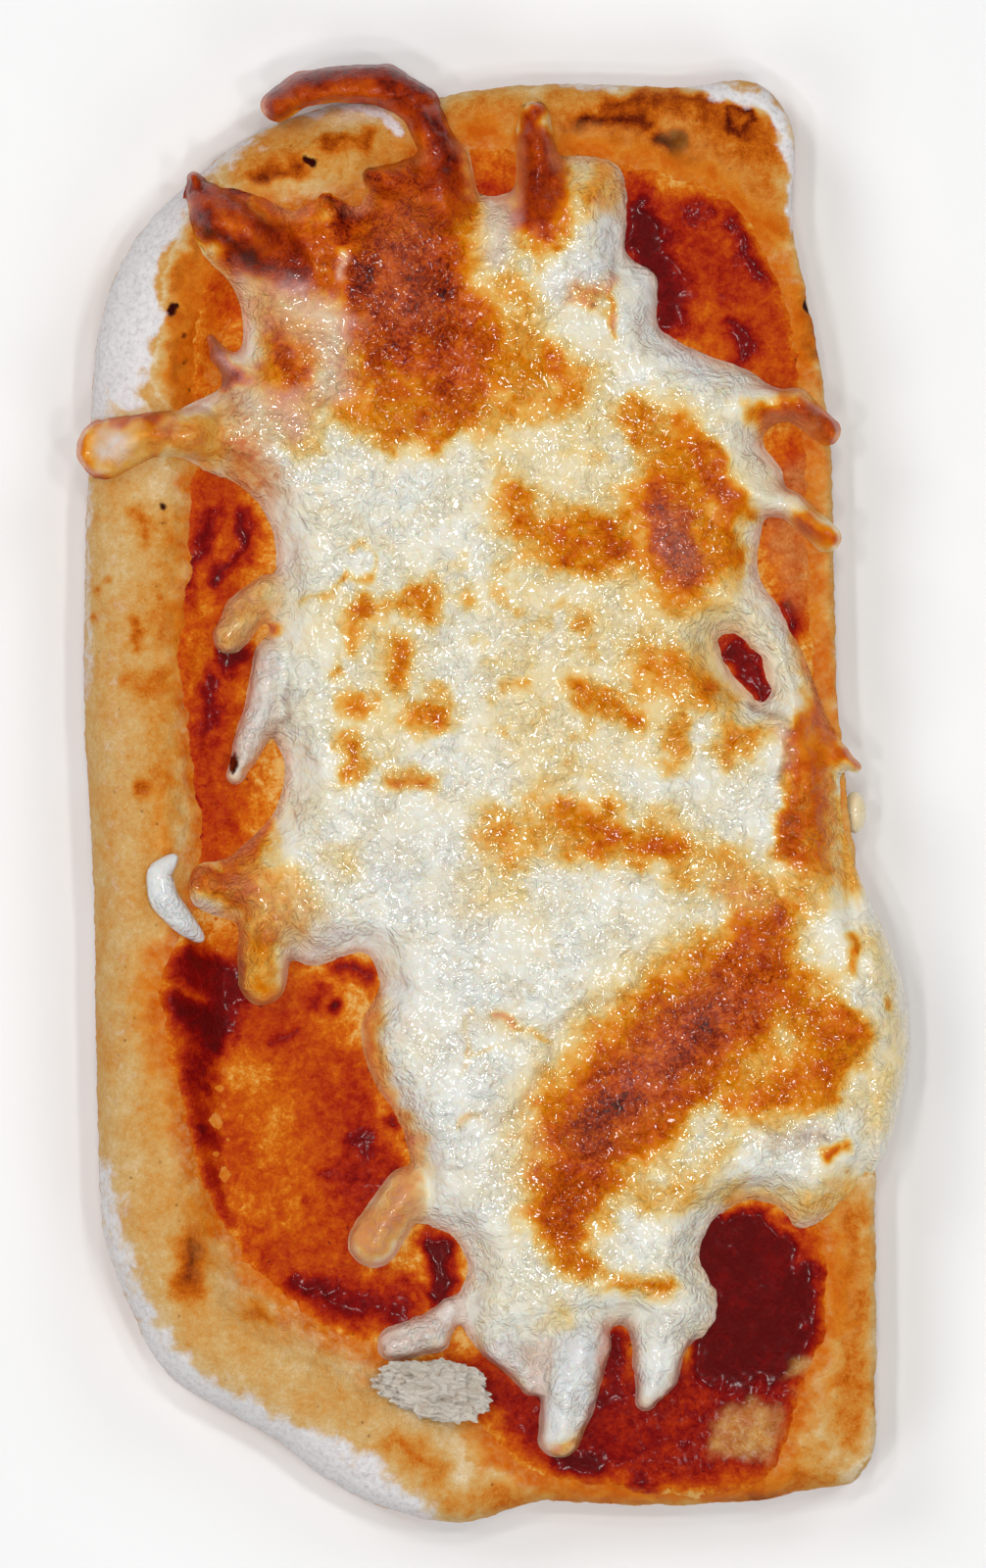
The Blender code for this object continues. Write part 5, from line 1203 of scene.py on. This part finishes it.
def sauce_look():
    look = Look("tomato_sauce")
    depth, bare, dry = (look.channel("tomato", k) for k in range(3))
    coarse = look.noise(3.4, 4.0, 0.6, 0.8)
    medium = look.noise(1.2, 4.0, 0.72, 0.5)
    fine = look.noise(0.36, 2.0, 0.7)
    grain = look.add(look.times(look.add(coarse, -0.5), 0.50), look.times(look.add(medium, -0.5), 0.85))
    grain = look.add(grain, look.times(look.add(fine, -0.5), 0.28))
    grain = look.times(grain, look.step(depth, 0.6, 1.0, 1.0, 0.45))
    color = look.ramp(look.sums("ADD", depth, grain, clamp=True), TOMATO)
    crust = look.add(look.times(look.add(medium, -0.5), 0.8), look.add(look.times(look.add(fine, -0.5), 0.5), 0.34))
    color = look.mix(look.times(bare, look.step(coarse, 0.3, 0.6, 0.5, 1.0)), color, look.ramp(crust, BAKING))
    specks = look.times(look.step(look.cells(2.3), 0.12, 0.06), look.step(coarse, 0.45, 0.6, 0.0, 0.7))
    color = look.mix(specks, color, (92, 22, 14))
    look.set("Base Color", color)
    look.set("Roughness", look.add(look.step(coarse, 0.3, 0.7, 0.38, 0.56), look.times(bare, 0.2)))
    look.set("Coat Weight", look.step(depth, 0.6, 0.95, 0.0, 0.16))
    look.set("Coat Roughness", 0.12)
    look.set("Specular IOR Level", 0.14)
    look.set("Subsurface Weight", 0.06)
    look.set("Subsurface Scale", 0.001)
    height = look.add(look.times(medium, 0.8), look.times(look.noise(0.45, 3.0, 0.65, 0.3), 1.0))
    look.set("Normal", look.bump(height, 0.28))
    return look.material


def crumb_look():
    look = Look("torn_crumb")
    medium = look.noise(0.8, 4.0, 0.75, 0.8, (1.0, 3.0, 1.0, 0.2))
    fine = look.noise(0.25, 2.0, 0.7)
    shade = look.add(look.times(medium, 0.7), look.times(fine, 0.3))
    color = look.ramp(shade, ((0.3, (222, 200, 178)), (0.45, (252, 240, 224)), (0.7, (255, 252, 242))))
    color = look.mix(look.step(look.noise(2.4), 0.58, 0.72, 0.0, 0.4), color, (208, 150, 96))
    look.set("Base Color", color)
    look.set("Roughness", 0.9)
    look.set("Normal", look.bump(look.add(medium, fine), 0.4))
    return look.material


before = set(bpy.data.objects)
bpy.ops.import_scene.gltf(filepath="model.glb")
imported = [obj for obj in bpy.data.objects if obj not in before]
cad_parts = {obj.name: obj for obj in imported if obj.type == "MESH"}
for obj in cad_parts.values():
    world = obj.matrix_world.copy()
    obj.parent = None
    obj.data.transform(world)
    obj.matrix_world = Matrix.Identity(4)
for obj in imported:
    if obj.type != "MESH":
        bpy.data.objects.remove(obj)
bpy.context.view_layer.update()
box_low, box_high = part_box("dough")
SHIFT = np.array([
    (box_low.x + box_high.x) / 2 / MM - (DOUGH_LINE[:, 0].min() + DOUGH_LINE[:, 0].max()) / 2,
    (box_low.y + box_high.y) / 2 / MM - (DOUGH_LINE[:, 1].min() + DOUGH_LINE[:, 1].max()) / 2,
    box_low.z / MM,
])


def make_dough(material):
    lines = outline_of(dough_field)

    def showing(x, y):
        return (cheese_field(x, y) < 1.0) & (sauce_field(x, y) < 2.0)

    upper = inset_rows(lines, dough_field, (0.06, 0.2, 0.4, 0.65))
    upper += inner_points(dough_field, 0.65, showing)
    gx, gy = hex_grid(3.0)
    deep = dough_field(gx, gy) > 6.2
    lower = inset_rows(lines, dough_field, (0.1, 0.5, 1.2, 2.2, 3.6, 5.2))
    lower.append(np.stack([gx[deep], gy[deep]], axis=1))
    points, faces, _ = closed_relief(lines, upper, lower, dough_top, dough_bottom, 24)
    x, y, z = points.T
    normals = normals_of(points, faces)
    inside = dough_field(x, y)
    paint = painted(x, y, DOUGH_PAINT, ("bake", "flour", "stain", "burn"), 1.0, 1.3)
    side = 1.0 - smoothstep(normals[:, 2], 0.25, 0.75)
    crumb = cut_share(x, y) * side * smoothstep(z, 1.4, 2.6) * smoothstep(MIDDLE_HEIGHT - z, 0.8, 2.4)
    crust = by_side(x, y, 1.0, 1.0, 0.0)
    bake = paint["bake"] + 0.16 * rough((x, y, z), 9.0, 71) * crust
    bake += 0.12 * smoothstep(sauce_field(x, y), -6.0, 0.0)
    low = smoothstep(-normals[:, 2], 0.2, 0.8)
    bake = np.where(paint["bake"] < 0.05, np.maximum(bake, 0.34), bake)
    below = side * (1.0 - smoothstep(z, MIDDLE_HEIGHT - 4.5, MIDDLE_HEIGHT - 1.0))
    walls = 0.40 + 0.22 * rough((x, y, z), 7.0, 77) + 0.24 * (1.0 - smoothstep(z, 0.8, 3.2))
    bake += (walls - bake) * below
    bake += (0.62 - bake) * low
    dusted = 0.42 + 0.45 * rough((x, y, z), 8.0, 78)
    flour = (paint["flour"] + (dusted * crust - paint["flour"]) * below) * (1.0 - low)
    flour += 0.25 * low
    soaked = smoothstep(sauce_field(x, y) + 1.4 * noise((x, y), 2.6, 72), -4.2, 0.2)
    stain = np.maximum(paint["stain"], 0.85 * soaked) * (1.0 - side)
    burn = paint["burn"] * (1.0 - below)
    relief = 0.30 * rough((x, y, z), 6.0, 73) + 0.20 * rough((x, y, z), 1.8, 74)
    relief += 0.10 * flour * noise((x, y, z), 0.9, 75) + 0.10 * noise((x, y, z), 0.9, 76)
    relief -= 0.25 * burn
    seen = crumb > 0.02
    pits = np.zeros(len(x))
    for size, depth, seed in ((4.6, 1.9, 81), (2.2, 1.0, 82), (1.1, 0.4, 83)):
        first, _, pick = cells((x[seen], 0.7 * y[seen], 1.3 * z[seen]), size, seed)
        hollow = depth * (0.4 + 0.6 * pick) * (1.0 - smoothstep(first, 0.15, 0.62))
        pits[seen] = np.maximum(pits[seen], hollow)
    relief *= 1.0 - 0.85 * smoothstep(sauce_field(x, y), -0.6, 2.0) * (1.0 - side)
    relief = relief * smoothstep(z, 0.0, 1.5) - pits * crumb
    relief *= 1.0 - smoothstep(low, 0.3, 0.9)
    points = points + normals * relief[:, None]
    points[:, 2] = np.maximum(points[:, 2], 0.0)
    colors = {
        "baking": (bake, flour, stain, burn),
        "side": (crumb, smoothstep(pits, 0.1, 1.2), low, 0.0 * x + 1.0),
    }
    return piece("baked_dough", points, faces, material, colors)


def make_sauce(material):
    field = Gridded(lambda x, y: np.minimum(sauce_field(x, y) + 1.2, dough_field(x, y) - 0.8))
    lines = outline_of(field)

    def showing(x, y):
        return cheese_field(x, y) < 1.0

    def paint_at(x, y):
        return painted(x, y, SAUCE_PAINT, ("depth", "bare"), 1.0, 1.5)

    def bank(x, y):
        """1 along the left side, where the sauce stands as a low step against the rim."""
        return smoothstep(-x, 33.0, 36.0) * smoothstep(y, -12.0, -6.0) * (1.0 - smoothstep(y, 40.0, 44.0))

    def top(x, y):
        paint = paint_at(x, y)
        inside = sauce_field(x, y)
        thick = 0.20 + 0.45 * smoothstep(paint["depth"], 0.3, 1.0)
        thin = -0.50 + (thick + 0.50) * smoothstep(inside, -1.2, 2.4)
        step = -0.50 + (SAUCE_THICKNESS + 0.50) * smoothstep(inside + 0.8 * noise((x, y), 6.0, 94), -1.4, 1.8)
        return dough_top(x, y) + thin + (step - thin) * bank(x, y)

    def bottom(x, y):
        return dough_top(x, y) - 0.8

    upper = inset_rows(lines, field, (0.2, 0.5)) + inner_points(field, 0.5, showing)
    gx, gy = hex_grid(3.0)
    deep = field(gx, gy) > 1.6
    lower = [np.stack([gx[deep], gy[deep]], axis=1)]
    points, faces, count = closed_relief(lines, upper, lower, top, bottom, 2)
    x, y, z = points.T
    paint = paint_at(x, y)
    inside = sauce_field(x, y)
    edge = smoothstep(inside, -0.5, 3.0)
    edge = edge + (1.0 - edge) * bank(x, y)
    depth = 0.08 + paint["depth"] * (0.25 + 0.75 * edge) + 0.14 * rough((x, y), 6.0, 91)
    relief = 0.12 * rough((x, y), 3.0, 92) + 0.12 * rough((x, y), 1.3, 93)
    relief = relief * (1.0 - 0.6 * smoothstep(depth, 0.8, 1.0))
    relief[count:] = 0.0
    points[:, 2] += relief
    colors = {"tomato": (depth, paint["bare"], edge, 0.0 * x + 1.0)}
    return piece("sauce_layer", points, faces, material, colors)


def make_cheese(material):
    lines = outline_of(cheese_field)

    def showing(x, y):
        return x > -999.0

    def bottom(x, y):
        on_dough = smoothstep(dough_field(x, y), -0.4, 0.6)
        return cheese_underside(x, y) - 1.6 * on_dough - 0.1

    upper = inset_rows(lines, cheese_field, (0.04, 0.13, 0.27, 0.46, 0.7))
    upper += inner_points(cheese_field, 0.7, showing)
    gx, gy = hex_grid(3.0)
    deep = cheese_field(gx, gy) > 1.6
    lower = [np.stack([gx[deep], gy[deep]], axis=1)]
    points, faces, count = closed_relief(lines, upper, lower, cheese_top, bottom, 3)
    x, y, z = points.T
    names = ("toast", "rosy", "milky", "film", "burn", "crease")
    paint = painted(x, y, CHEESE_PAINT, names, 1.0, 1.5)
    normals = normals_of(points, faces)
    inside = cheese_field(x, y)
    mottle = rough((x, y), 3.4, 106)
    toast = paint["toast"] * (0.92 + 0.26 * mottle) + 0.06 * rough((x, y), 8.0, 101) + 0.03
    centre = mound(x, y, 2.0, 22.0, 26.0, 26.0) * (1.0 - smoothstep(paint["toast"], 0.1, 0.4))
    toast = toast + 0.18 * centre * smoothstep(rough((x, y), 5.0, 107), 0.05, 0.5)
    thin = (1.0 - smoothstep(inside, 0.0, 2.0)) * smoothstep(sauce_field(x, y), -1.5, 1.0)
    smooth = np.zeros(len(x))
    for name in SMOOTH_STRANDS:
        distance, width = along_strand(CHEESE_STRANDS[name][0], x, y)
        smooth = np.maximum(smooth, 1.0 - smoothstep(distance - width, -0.6, 1.4))
    shreds = rough((x + 0.6 * y, y - 0.3 * x), 5.0, 102)
    worms = 1.0 - 2.2 * np.abs(noise((x + 0.8 * shreds, y), 2.7, 108))
    relief = 0.45 * shreds + 0.20 * rough((x, y), 2.4, 103) + 0.14 * np.maximum(worms, 0.0)
    first, second, pick = cells((x, y), 1.7, 104)
    blisters = (1.0 - smoothstep(first, 0.1, 0.55)) * pick
    relief += 0.30 * blisters * smoothstep(toast, 0.35, 0.75)
    relief += 0.08 * noise((x, y), 1.1, 105) * (0.6 + smoothstep(toast, 0.3, 0.8))
    relief += 0.25 * paint["milky"] - 0.55 * paint["crease"] - 0.2 * paint["burn"]
    relief *= smoothstep(inside, -0.1, 1.0) * (1.0 - 0.45 * smooth)
    relief[count:] = 0.0
    points = points + normals * relief[:, None]
    colors = {
        "browning": (toast, paint["rosy"], paint["milky"], paint["film"]),
        "marks": (paint["burn"], paint["crease"], thin, 1.0 - 0.6 * smooth),
    }
    return piece("melted_cheese", points, faces, material, colors)


def plain(name, color, roughness):
    material = bpy.data.materials.new(name)
    material.use_nodes = True
    shader = material.node_tree.nodes["Principled BSDF"]
    shader.inputs["Base Color"].default_value = (*color, 1.0)
    shader.inputs["Roughness"].default_value = roughness
    return material


def swept(spine, around, lengthways):
    """(points, faces) of a closed tube along (x, y, z, radius) places, with rounded ends."""
    spine = np.array(spine, float)
    at = np.linspace(0.0, len(spine) - 1.0, lengthways)
    path = np.stack([np.interp(at, np.arange(len(spine)), spine[:, k]) for k in range(4)], axis=1)
    for _ in range(lengthways // 5):
        path[1:-1] = 0.5 * path[1:-1] + 0.25 * (path[2:] + path[:-2])
    ahead = np.gradient(path[:, :3], axis=0)
    ahead /= np.linalg.norm(ahead, axis=1)[:, None]
    side = np.cross(ahead, (0.0, 0.0, 1.0))
    side /= np.linalg.norm(side, axis=1)[:, None]
    up = np.cross(side, ahead)
    turn = np.arange(around) / around * 2 * math.pi
    share = np.linspace(0.0, 1.0, lengthways)
    radius = path[:, 3] * np.sqrt(np.clip(1 - np.abs(2 * share - 1) ** 12, 0.0004, 1.0))
    rings = (
        path[:, None, :3]
        + radius[:, None, None] * np.cos(turn)[None, :, None] * side[:, None, :]
        + radius[:, None, None] * np.sin(turn)[None, :, None] * up[:, None, :]
    ).reshape(-1, 3)
    points = np.concatenate([rings, path[:1, :3], path[-1:, :3]])
    faces = []
    for i in range(lengthways - 1):
        for j in range(around):
            a, b = i * around + j, i * around + (j + 1) % around
            faces += [(a, a + around, b), (b, a + around, b + around)]
    last = (lengthways - 1) * around
    for j in range(around):
        faces.append((len(rings), j, (j + 1) % around))
        faces.append((len(rings) + 1, last + (j + 1) % around, last + j))
    return points, outward(points, np.array(faces))


def outward(points, faces):
    """The faces, turned if need be so that the closed piece holds a positive volume."""
    a, b, c = (points[faces[:, k]] for k in range(3))
    return faces if np.einsum("ij,ij->", a, np.cross(b, c)) > 0 else faces[:, ::-1]


def ball(detail):
    """(points, faces) of a unit ball from a subdivided icosahedron."""
    golden = (1 + math.sqrt(5)) / 2
    points = []
    for a in (-1, 1):
        for b in (-golden, golden):
            points += [(a, b, 0), (0, a, b), (b, 0, a)]
    points = np.array(points, float)
    length = np.linalg.norm(points[:, None] - points[None], axis=2)
    faces = [
        (i, j, k)
        for i in range(12) for j in range(i + 1, 12) for k in range(j + 1, 12)
        if max(length[i, j], length[j, k], length[i, k]) < 2.1
    ]
    points = [tuple(p) for p in points]
    for _ in range(detail):
        middles, finer = {}, []
        for face in faces:
            mids = []
            for a, b in zip(face, face[1:] + face[:1]):
                key = (min(a, b), max(a, b))
                if key not in middles:
                    middles[key] = len(points)
                    points.append(tuple((np.array(points[a]) + np.array(points[b])) / 2))
                mids.append(middles[key])
            a, b, c = face
            finer += [(a, mids[0], mids[2]), (b, mids[1], mids[0]), (c, mids[2], mids[1]), tuple(mids)]
        faces = finer
    points = np.array(points)
    points /= np.linalg.norm(points, axis=1)[:, None]
    faces = np.array(faces)
    a, b, c = (points[faces[:, k]] for k in range(3))
    turned = np.einsum("ij,ij->i", a, np.cross(b - a, c - a)) < 0
    faces[turned] = faces[turned][:, ::-1]
    return points, faces


def plain_cheese(points, toast, milky):
    """The colour layers of a small piece of cheese that is the same all over."""
    even = np.zeros(len(points))
    return {
        "browning": (even + toast, even, even + milky, even),
        "marks": (even, even, even, even + 1.0),
    }


def make_curl(material):
    spine = []
    for x, y, radius in CURL:
        z = float(dough_top(np.array([x]), np.array([y]))[0]) + CURL_LIFT
        spine.append((x, y, z, radius))
    points, faces = swept(spine, 36, 90)
    return piece("white_curl", points, faces, material, plain_cheese(points, 0.0, 0.9))


def make_bead(material):
    points, faces = ball(4)
    points = points * SIDE_DROP_SIZE + SIDE_DROP
    return piece("cheese_bead", points, faces, material, plain_cheese(points, 0.18, 0.2))


def make_crumb(material):
    points, faces = ball(6)
    big, mid, fine = (noise(points.T, size, seed) for size, seed in ((0.9, 111), (0.34, 112), (0.13, 113)))
    jag = 1.0 + 0.24 * big + 0.24 * mid + 0.12 * fine
    x, y = (0.5 * points[:, k] * jag * CRUMB_SIZE[k] for k in range(2))
    cx, cy = CRUMB
    ground = float(dough_top(np.array([cx]), np.array([cy]))[0]) + GAP + SAUCE_THICKNESS
    flakes = 0.5 * np.floor(2.2 * (big + 0.5 * mid + 1.0)) - 1.0 + 0.6 * mid + 0.4 * fine
    z = ground + 1.2 + 0.5 * points[:, 2] * CRUMB_SIZE[2] * (1.0 + 0.5 * mid) + flakes
    cosine, sine = math.cos(CRUMB_TURN), math.sin(CRUMB_TURN)
    points = np.column_stack([cx + cosine * x - sine * y, cy + sine * x + cosine * y, z])
    return piece("torn_crumb", points, faces, material)


def make_floor():
    data = bpy.data.meshes.new("floor")
    data.from_pydata([(-3, -3, 0), (3, -3, 0), (3, 3, 0), (-3, 3, 0)], [], [(0, 1, 2, 3)])
    floor = bpy.data.objects.new("floor", data)
    bpy.context.scene.collection.objects.link(floor)
    data.materials.append(plain("floor_white", (0.93, 0.93, 0.93), 0.9))


def area_light(name, place, size, power, aim=(0.0, 0.0, 0.01)):
    light = bpy.data.lights.new(name, "AREA")
    light.shape = "DISK"
    light.size = size
    light.energy = power
    lamp = bpy.data.objects.new(name, light)
    lamp.location = place
    lamp.rotation_euler = (Vector(place) - Vector(aim)).to_track_quat("Z", "Y").to_euler()
    bpy.context.scene.collection.objects.link(lamp)
    return lamp


def set_stage():
    scene = bpy.context.scene
    scene.view_settings.view_transform = "Standard"
    world = bpy.data.worlds.new("soft_studio")
    world.use_nodes = True
    nodes, links = world.node_tree.nodes, world.node_tree.links
    direction = nodes.new("ShaderNodeTexCoord")
    split = nodes.new("ShaderNodeSeparateXYZ")
    fade = nodes.new("ShaderNodeMapRange")
    links.new(direction.outputs["Generated"], split.inputs[0])
    links.new(split.outputs["Z"], fade.inputs["Value"])
    for name, value in (("From Min", 0.35), ("From Max", 0.95), ("To Min", 1.50), ("To Max", 0.05)):
        fade.inputs[name].default_value = value
    links.new(fade.outputs["Result"], nodes["Background"].inputs["Strength"])
    scene.world = world
    for k, (x, y, power) in enumerate(((-0.8, 0.7, 8.0), (0.8, 0.7, 5.6), (0.7, -0.8, 5.2), (-0.8, -0.7, 5.6))):
        area_light(f"soft_{k}", (x, y, 1.0), 0.7, 0.69 * power).visible_glossy = False
    for k in range(6):
        turn = 0.5 + k * math.pi / 3
        area_light(f"glint_{k}", (0.27 * math.cos(turn), 0.27 * math.sin(turn), 1.0), 0.07, 0.85)
    camera = bpy.data.cameras.new("camera")
    camera.lens = 250.0
    camera.clip_end = 10.0
    view = bpy.data.objects.new("camera", camera)
    view.location = (0.0, 0.00117, 1.458)
    scene.collection.objects.link(view)
    scene.camera = view


CHEESE = cheese_look()

for obj, node, slot in (
    (make_dough(dough_look()), "dough", "baked_dough"),
    (make_sauce(sauce_look()), "tomato_sauce", "sauce"),
    (make_cheese(CHEESE), "mozzarella", "melted_cheese"),
    (make_curl(CHEESE), "cheese_curl", "white_cheese"),
    (make_bead(CHEESE), "cheese_drop", "melted_cheese"),
    (make_crumb(crumb_look()), "bread_scrap", "torn_crumb"),
):
    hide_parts(node)
    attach(obj, "root")
    print(obj.name, len(obj.data.vertices), len(obj.data.polygons))
make_floor()
set_stage()
